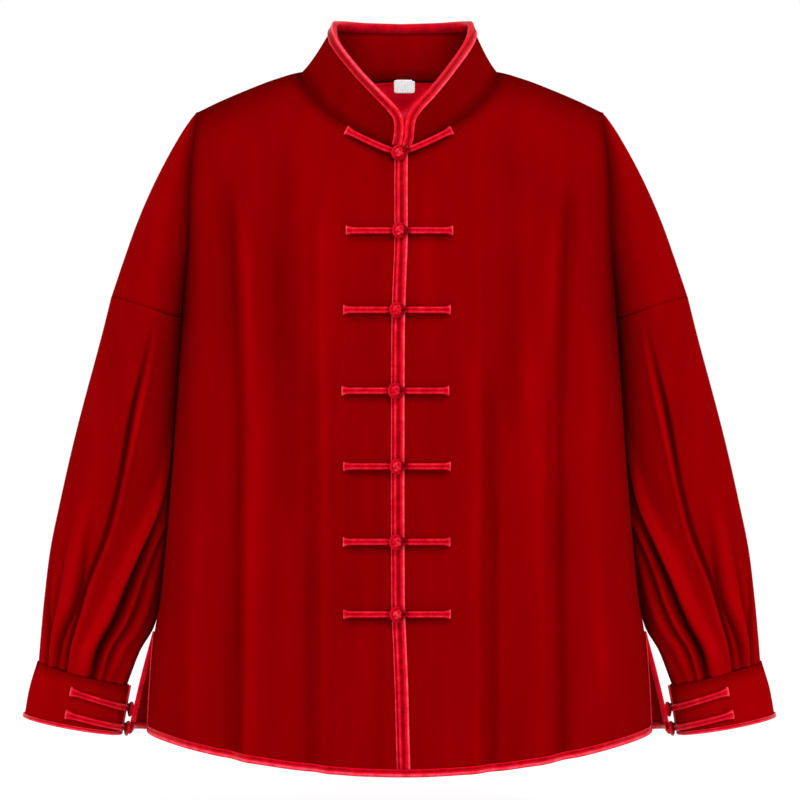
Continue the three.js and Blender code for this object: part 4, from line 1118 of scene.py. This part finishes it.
# The lining's own folds: a line from one place to another, how wide, and how far it stands off the back.
LINING_FOLDS = table(
    "from_x from_z to_x to_z width height",
    (-4, -40, 28, -14.5, 3.6, 4.5), (-6, -70, -52, -26, 8, 2.5), (-24, -2, -14, -30, 6, 1.2),
    (40, -10, 34, -50, 7, 1.6),
)
LINING_SHADOW = (-9, 0)  # painted shade: the lining is drawn darkest up here, under the collar
LINING_TOP_Z, LINING_FOOT_Z = -40.6, -165  # rows of the back's side, from under the neckline
LINING_SHARE = 0.42  # of the back's half width
# Painted highlight on the lining's folds, a darkening all over, painted shade under the collar and painted
# shadow below the label.
LINING_FOLD_TONE, LINING_TONE, LINING_SHADOW_TONE, LABEL_SHADOW_TONE = 0.16, 0.05, 0.7, 0.3
LABEL_SHADOW_Z, LABEL_SHADOW_WIDTH, LABEL_SHADOW_HEIGHT = -23, 13, 7


def lining_lift(x, z):
    """How far the lining's folds lift it off the back."""
    total = np.zeros(np.shape(x))
    for fold in each_row(LINING_FOLDS):
        run = np.array([fold["to_x"] - fold["from_x"], fold["to_z"] - fold["from_z"]])
        length = np.linalg.norm(run)
        run /= length
        away_x, away_z = x - fold["from_x"], z - fold["from_z"]
        down = (away_x * run[0] + away_z * run[1]) / length
        off = away_z * run[0] - away_x * run[1]
        fade = np.exp(-(((down - 0.5) / 0.55) ** 4))
        total += fold["height"] * fade * np.exp(-((off / fold["width"]) ** 2))
    return total


def lining_tone(x, z, lift):
    """How much brighter or darker the lining is drawn: painted highlights on its folds, painted shade under
    the collar and painted shadow below the label.
    """
    across, down = (x - LABEL_X) / LABEL_SHADOW_WIDTH, (z - LABEL_SHADOW_Z) / LABEL_SHADOW_HEIGHT
    under_collar = LINING_SHADOW_TONE * smooth_step(z, *LINING_SHADOW)
    below_label = LABEL_SHADOW_TONE * np.exp(-(across**2) - down**2)
    return LINING_FOLD_TONE * lift - LINING_TONE - under_collar - below_label


def make_lining():
    """The lining that shows inside the back of the neck."""
    rows = np.concatenate([[LINING_TOP_Z], np.linspace(LINING_TOP_Z - 1.4, LINING_FOOT_Z, 60)])
    grids = []
    for side in SIDES.values():
        u, row_z = np.meshgrid(np.linspace(0, LINING_SHARE, 44), rows)
        points, _ = body_at("back", side, u, row_z)
        x, z = points[..., 0], points[..., 2]
        grids.append(((points, lining_tone(x, z, lining_lift(x, z))), side > 0))
    points, faces, tones = welded(grids)
    normals = point_normals(points, faces)
    lift = lining_lift(points[:, 0], points[:, 2])[:, None]
    outside = points - normals * (VELVET_WALL + BINDING_LIFT + lift)
    inner = outside - normals * LINING_WALL
    _, every = wall_faces(faces, len(points))
    piece = add_object(
        "neck_lining", np.concatenate([outside, inner]), every, LINING, {"tone": np.tile(tones, 2)}
    )
    dress(piece, "lining", "lining_back_neck")


# ==== Collar ====

def to_meeting(at):
    return meet_x(FRONT_NECK_Z) * np.clip((at - COLLAR_SIDE) / (1 - COLLAR_SIDE), 0, 1) ** 2


def collar_base(side, at):
    """The neckline from the middle of the back (0) by the side neck point to the front end (1)."""
    behind = NECK_HALF * np.sin(math.pi / 2 * np.clip(at / COLLAR_SIDE, 0, 1))
    before = NECK_HALF * np.cos(math.pi / 2 * np.clip((at - COLLAR_SIDE) / (1 - COLLAR_SIDE), 0, 1))
    back, _ = body_points("back", side * behind, neck_z("back", behind))
    front_x = side * np.maximum(before, EDGE_SET_BACK) + to_meeting(at)
    front, _ = body_points("front", front_x, neck_z("front", front_x))
    return np.where((at <= COLLAR_SIDE)[:, None], back, front)


def collar_lines(side, places):
    """Base and top points of a collar half."""
    base = collar_base(side, places)
    top = np.stack([
        side * along(COLLAR_TOP, "at", "x", places) + along(COLLAR_TOP, "at", "sway", places),
        along(COLLAR_TOP, "at", "y", places),
        along(COLLAR_TOP, "at", "z", places),
    ], 1)
    rise = top - base
    base = base + rise / np.linalg.norm(rise, axis=1, keepdims=True) * COLLAR_SEAT
    return base, top


# Small slanting wrinkles where the collar bends, each from one x at its seam to another at its edge.
COLLAR_WRINKLES = table(
    "low_x high_x width height",
    (-38, -52, 2.2, 0.9), (-46, -60, 2.0, -0.9), (-30, -44, 2.4, -0.6), (44, 56, 2.4, 0.7),
    (52, 62, 2.0, -0.7),
)
WRINKLE_REACH = 0.8  # how far up the collar the wrinkles run, as a share of its height
# Painted highlight on wrinkles that stand out, painted shade on those that sink.
WRINKLE_TONE = 0.12


def collar_wrinkle(points, share):
    """How far the wrinkles stand out behind the neck, at places on the collar."""
    total = np.zeros(points.shape[:2])
    grown = smooth_step(points[..., 1], 0, 12) * np.sin(math.pi * np.clip(share / WRINKLE_REACH, 0, 1))
    for row in each_row(COLLAR_WRINKLES):
        away = (points[..., 0] - lerp(row["low_x"], row["high_x"], share)) / row["width"]
        total += row["height"] * grown * np.exp(-(away**2))
    return total


def inside_collar_shade(points):
    """The nap inside the collar, with painted shade where it bends round at both ends and down at the seam.
    """
    ends = smooth_step(np.abs(points[:, 0] - COLLAR_TOP["sway"][0]), *COLLAR_BEND)
    low = 1 - smooth_step(points[:, 2], *COLLAR_FOOT)
    return INNER_COLLAR_TONE - INNER_COLLAR_END_TONE * ends - INNER_COLLAR_SEAM_TONE * low


def collar_margin(points):
    """Lines in from the collar's edge and square to it, also down its front ends to the neckline."""
    surface = BVHTree.FromPolygons(*(list(part) for part in solids["collar"]))
    middle = len(points) // 2
    steps = np.arange(len(points)) - middle
    drawn_in = 1 - 0.16 * smooth_step(np.abs(steps) / middle, 0.6, 1)
    towards = points[np.round(steps * drawn_in).astype(int) + middle, points.shape[1] // 2]
    down = [points[end, -2:0:-3] for end in (0, -1)]
    edge = np.concatenate([down[0][::-1], points[:, -1], down[1]])
    towards = np.concatenate([
        np.repeat(towards[:1], len(down[0]), 0), towards, np.repeat(towards[-1:], len(down[1]), 0),
    ])
    run = np.gradient(edge, axis=0)
    run /= np.linalg.norm(run, axis=1, keepdims=True)
    inwards = towards - edge
    inwards -= run * np.sum(inwards * run, axis=1, keepdims=True)
    inwards /= np.linalg.norm(inwards, axis=1, keepdims=True)
    for _ in range(4):
        inwards[1:-1] = (inwards[:-2] + inwards[1:-1] + inwards[2:]) / 3
    lines = [edge]
    for reach in np.linspace(0.5, COLLAR_LEG + 3, 22):
        lines.append(np.array([surface.find_nearest(Vector(place))[0] for place in edge + inwards * reach]))
    return np.stack(lines)


def make_collar():
    """The stand collar with its bound edge."""
    places = np.linspace(0, 1, 121)
    halves = [collar_lines(side, places) for side in SIDES.values()]
    base = np.concatenate([halves[0][0][::-1], halves[1][0][1:]])
    top = np.concatenate([halves[0][1][::-1], halves[1][1][1:]])
    share = np.linspace(0, 1, 25)[None, :]
    points = lerp(base[:, None], top[:, None], share[..., None])
    wrinkle = collar_wrinkle(points, share)
    points[..., 1] -= wrinkle
    # Painted highlight and shade on the wrinkles, a darkening all over, and painted shade down towards the
    # seam.
    tone = WRINKLE_TONE * wrinkle - COLLAR_TONE - SEAM_TONE * (1 - smooth_step(share, 0, 0.3))
    piece = add_cloth(
        "collar_band", "collar", [((points, tone), True)], COLLAR_WALL, inner_tones=inside_collar_shade
    )
    lines = collar_margin(points)
    # Painted highlights shift from the right half's set to the left half's.
    to_left = smooth_step(lines[0, :, 0], -30, 40)[:, None]
    ridges = lerp(np.array(COLLAR_HIGHLIGHTS["right"]), np.array(COLLAR_HIGHLIGHTS["left"]), to_left)
    edge = add_binding(
        "collar_edge", "binding_collar", lines, COLLAR_WALL, COLLAR_LEG, COLLAR_BINDING_LIFT, ridges=ridges
    )


# ==== Sleeves and cuffs ====

def rings_at(rings, t):
    return {column: along(rings, "t", column, t) for column in RING_COLUMNS.split()[1:]}


def pleats(rows, t, degrees):
    """The sum of all ridges' or valleys' heights at places on the sleeve."""
    total = np.zeros(np.broadcast(t, degrees).shape)
    held = 1 - 0.4 * smooth_step(t, 0.92, 1)
    for row in each_row(rows):
        places = {"t": np.array(PLEAT_PLACES), "angle": np.array([row[column] for column in "abcdefg"])}
        away = (degrees - along(places, "t", "angle", t) + 540) % 360 - 180
        grown = held * smooth_step(t, row["start"], row["start"] + PLEAT_GROWTH)
        total += row["height"] * grown * np.exp(-((away / row["width"]) ** 2))
    return total


def sleeve_relief(t, degrees):
    """How far the pleats lift the sleeve off its plain ring, and the painted highlights and shade of the nap
    on them.
    """
    ridges, valleys = pleats(PLEAT_RIDGES, t, degrees), pleats(PLEAT_VALLEYS, t, degrees)
    beside_body = np.exp(-(((degrees - NEAR_BODY) / NEAR_BODY_HALF) ** 2)) * (1 - smooth_step(t, 0.7, 0.88))
    lift = (ridges - PLEAT_EASE * smooth_step(t, 0.3, 0.9)) * (1 - beside_body) - valleys
    return lift, PLEAT_TONE * ridges - VALLEY_TONE * valleys


def ring_points(ring, side, angle, lift):
    c, s = np.cos(angle), np.sin(angle)
    half_x = (ring["out_x"] - ring["in_x"]) / 2
    half_z = (ring["out_z"] - ring["in_z"]) / 2
    outwards = np.stack(np.broadcast_arrays(half_x * c, -ring["depth"] * s, half_z * c), -1)
    outwards = outwards / np.linalg.norm(outwards, axis=-1, keepdims=True)
    middle = [(ring["out_x"] + ring["in_x"]) / 2, ring["mid_y"], (ring["out_z"] + ring["in_z"]) / 2]
    points = np.stack(np.broadcast_arrays(
        middle[0] + half_x * c, middle[1] - ring["depth"] * s, middle[2] + half_z * c), -1)
    points = points + outwards * np.asarray(lift)[..., None]
    points[..., 0] *= side
    return points


def ring_middle(ring, side):
    return np.stack(np.broadcast_arrays(
        side * (ring["out_x"] + ring["in_x"]) / 2, ring["mid_y"], (ring["out_z"] + ring["in_z"]) / 2), -1)


def arm_angles(half, count):
    """Angles round the arm from its inner edge over the front and the back, leaving the opening free."""
    return math.pi - half - (2 * math.pi - 2 * half) * np.linspace(0, 1, count)


def sleeve_columns(count):
    """Shares round the sleeve, closer together over its front half."""
    columns_in_front, front_share = 0.6, 0.44
    return np.interp(np.linspace(0, 1, count), (0, columns_in_front, 1), (0, front_share, 1))


def make_sleeves():
    """A gathered sleeve and a deep cuff on each side, open along the inner edge above the hand."""
    for name, side in SIDES.items():
        t = np.linspace(0, 1, 141)[:, None]
        half = OPENING_HALF * np.clip((t - SLEEVE_SLIT_FROM) / (1 - SLEEVE_SLIT_FROM), 0, 1)
        angle = math.pi - half - (2 * math.pi - 2 * half) * sleeve_columns(261)[None, :]
        lift, tone = sleeve_relief(t, np.degrees(angle) % 360)
        points = ring_points(rings_at(SLEEVE_RINGS, t), side, angle, lift)
        points[:, -1] = np.where(half > 0, points[:, -1], points[:, 0])
        points[0] += (0, 0, SLEEVE_TUCK)
        under_arm = np.exp(-(((np.degrees(angle) % 360 - 180) / SIDE_TUCK_HALF) ** 2))
        under_arm = under_arm * (1 - smooth_step(t, *SIDE_TUCK_ENDS))
        points[..., 0] -= side * SIDE_TUCK * under_arm
        # Painted shade on the sleeve beside the body.
        face_edge = np.where(points[..., 1] < 10, along(SIDE_EDGE, "z", "front", points[..., 2]),
                             along(SIDE_EDGE, "z", "back", points[..., 2]))
        beside = np.maximum(np.abs(points[..., 0]) - face_edge, 0)
        tone = tone - BESIDE_TONE * np.exp(-((beside / SHADE_WIDTH) ** 2))
        piece = add_cloth(f"sleeve_tube_{name}", f"sleeve_{name}", [((points, tone), side < 0)], VELVET_WALL)
        make_cuff(name, side)


def make_cuff(name, side):
    """A turned-up cuff, bound round its foot and up both sides of the opening along its inner edge."""
    t, angle = np.linspace(0, 1, 25)[:, None], arm_angles(OPENING_HALF, 151)[None, :]
    points = ring_points(rings_at(CUFF_RINGS, t), side, angle, 0.0)
    # Painted shade along the cuff's top seam.
    tone = CUFF_TONE - CUFF_SEAM_TONE * np.exp(-((t / 0.12) ** 2)) + 0 * angle
    piece = add_cloth(f"cuff_band_{name}", f"cuff_{name}", [((points, tone), side < 0)], CUFF_WALL)
    low = 1 - np.linspace(0, 0.25, 12)[:, None]
    middle = ring_middle(rings_at(CUFF_RINGS, 1.0), side)
    edge = add_binding(
        f"cuff_edge_{name}", f"binding_cuff_{name}", ring_points(rings_at(CUFF_RINGS, low), side, angle, 0.0),
        CUFF_WALL, CUFF_LEG, inside=middle,
    )
    for end, turn in (("front", -1), ("back", 1)):
        places = np.linspace(0, 0.9, 20)[None, :]
        round_it = math.pi + turn * (OPENING_HALF + np.linspace(0, 0.3, 12)[:, None])
        add_binding(
            f"cuff_opening_{end}_{name}", f"binding_cuff_opening_{end}_{name}",
            ring_points(rings_at(CUFF_RINGS, places), side, round_it, 0.0), CUFF_WALL, CUFF_LEG,
            inside=ring_middle(rings_at(CUFF_RINGS, places[0]), side),
        )


# ==== Fastenings ====

BAR_TESTED = (-3.4, -1.7, 0, 1.7, 3.4)  # places across a bar that clear the cloth
LAY_REACH = 58  # how far each way from its knot a fastening's lie is worked out, in steps of 1
LAY_SPAN = 4  # a bar bridges dips this far each way


def make_front_frogs():
    """One row after another down the front, each laid on whatever stands out furthest under it."""
    reached = ("front_", "binding_front_", "collar", "binding_collar")
    points, faces = joined([solids[name] for name in solids if name.startswith(reached)])
    cloth = BVHTree.FromPolygons(points.tolist(), faces)

    def cloth_y(x, z):
        hit = cloth.ray_cast(Vector((x, -400, z)), Vector((0, 1, 0)))[0]
        return hit.y if hit else 0.0

    places = np.arange(-LAY_REACH, LAY_REACH + 1.0)
    for row, (frog_x, row_z) in enumerate(zip(FROG_ROWS["x"], FROG_ROWS["z"])):
        rise = TOP_FROG_RISE if row == 0 else 0
        z = row_z + rise * (np.abs(places) / FROG_REACH) ** TOP_FROG_POWER
        lie = np.array([
            min(cloth_y(frog_x + s, height + w) for w in BAR_TESTED) for s, height in zip(places, z)
        ])
        lie = np.array([lie[max(0, i - LAY_SPAN):i + LAY_SPAN + 1].min() for i in range(len(lie))])
        window = np.ones(2 * LAY_SPAN + 1) / (2 * LAY_SPAN + 1)
        lie = np.convolve(np.pad(lie, LAY_SPAN, "edge"), window, "valid")
        slope = np.gradient(z, places)

        def lay(s, w, h, frog_x=frog_x, z=z, lie=lie, slope=slope):
            tilt = np.interp(s, places, slope)
            length = np.sqrt(1 + tilt**2)
            x = frog_x + s - w * tilt / length
            return np.stack([x, np.interp(s, places, lie) - h, np.interp(s, places, z) + w / length], 1)

        add_frog(f"frog_{row + 1}", lay, FROG_REACH)


def make_cuff_frogs():
    """Two fastenings across the opening of each cuff, slanting up towards their ends."""
    past_ends = 1.15
    angles = math.pi + np.linspace(-past_ends, past_ends, 231) * CUFF_FROG_SPAN
    for name, side in SIDES.items():
        for row, (opening, end) in enumerate(zip(CUFF_FROGS["opening"], CUFF_FROGS["end"])):

            def t_at(angle, opening=opening, end=end):
                return lerp(opening, end, np.abs(angle - math.pi) / CUFF_FROG_SPAN)

            line = ring_points(rings_at(CUFF_RINGS, t_at(angles)), side, angles, 0.0)
            lengths = np.concatenate([[0], np.cumsum(np.linalg.norm(np.diff(line, axis=0), axis=1))])
            lengths -= np.interp(math.pi, angles, lengths)
            reach = np.interp(math.pi + CUFF_FROG_SPAN, angles, lengths)
            ends = [ring_middle(rings_at(CUFF_RINGS, t), side) for t in (0.0, 1.0)]
            down = (ends[1] - ends[0]) / np.linalg.norm(ends[1] - ends[0])

            def lay(s, w, h, t_at=t_at, lengths=lengths, down=down, side=side):
                angle = np.interp(s, lengths, angles)
                over = BINDING_FAR * (1 - smooth_step(np.abs(angle - math.pi), *CUFF_BINDING_ZONE))
                ring = rings_at(CUFF_RINGS, t_at(angle))
                return ring_points(ring, side, angle, h + over + CUFF_FROG_LIFT) - down * w[:, None]

            add_frog(f"frog_cuff_{name}_{row + 1}", lay, reach)


def make_label():
    """A blank woven tape, hanging from its top edge inside the neck."""
    corners_low, corners_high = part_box("label")
    top = Vector(corners_high) / MM
    rows, columns = np.meshgrid(np.linspace(0, 1, 15), np.linspace(-0.5, 0.5, 25), indexing="ij")
    from_edge = np.minimum(rows, 1 - rows) * LABEL_HEIGHT
    corner = np.clip(1 - from_edge / LABEL_CORNER, 0, 1)
    columns = columns * (1 - 2 * LABEL_CORNER / LABEL_WIDTH * (1 - np.sqrt(1 - corner**2)))
    drop = rows * LABEL_HEIGHT
    curl = 0.5 * (2 * columns) ** 2 * rows
    x = LABEL_X + columns * LABEL_WIDTH
    lowest_y = Vector(corners_low).y / MM
    y = lowest_y - LABEL_FORWARD + drop * math.sin(LABEL_LEAN) + curl * 0.4
    z = top.z + LABEL_RAISE - drop * math.cos(LABEL_LEAN)
    points = np.stack([x, y, z], -1)
    grid = ((points, np.zeros(rows.shape)), False)
    points, faces, _ = welded([grid])
    inner = points - point_normals(points, faces) * LABEL_WALL
    _, every = wall_faces(faces, len(points))
    piece = add_object("label_tape", np.concatenate([points, inner]), every, LABEL)
    dress(piece, "label", "label")


make_fronts()
make_back()
make_collar()
make_sleeves()
make_front_frogs()
make_cuff_frogs()
make_label()

# ==== Stage and light ====

FLOOR_RADIUS, FLOOR_Z = 8, -0.82  # in metres


def make_stage():
    """A wide pale floor under the jacket."""
    finish = Finish("floor", Roughness=0.9, Base_Color=(1, 1, 1, 1))
    mesh = bpy.data.meshes.new("floor")
    angles = np.linspace(0, 2 * math.pi, 64, endpoint=False)
    ring = [(FLOOR_RADIUS * math.cos(a), FLOOR_RADIUS * math.sin(a), FLOOR_Z) for a in angles]
    mesh.from_pydata(ring, [], [range(len(ring))])
    mesh.materials.append(finish.material)
    floor = bpy.data.objects.new("floor", mesh)
    bpy.context.scene.collection.objects.link(floor)


def add_light(name, place, target, size, power):
    data = bpy.data.lights.new(name, "AREA")
    data.shape = "DISK"
    data.size = size
    data.energy = power
    lamp = bpy.data.objects.new(name, data)
    lamp.location = place
    lamp.rotation_euler = (Vector(target) - Vector(place)).to_track_quat("-Z", "Y").to_euler()
    bpy.context.scene.collection.objects.link(lamp)


def set_light():
    """White surroundings with a small key from above the front and a little light from behind."""
    world = bpy.data.worlds.new("studio")
    world.use_nodes = True
    world.node_tree.nodes["Background"].inputs["Color"].default_value = (1, 1, 1, 1)
    world.node_tree.nodes["Background"].inputs["Strength"].default_value = 1.0
    bpy.context.scene.world = world
    add_light("key", (0.5, -2.3, 2.0), (0, 0, -0.35), 0.4, 48)
    add_light("rim", (-2.2, 1.6, 1.0), (0, 0, -0.3), 1.2, 8)
    bpy.context.scene.view_settings.view_transform = "Standard"


make_stage()
set_light()
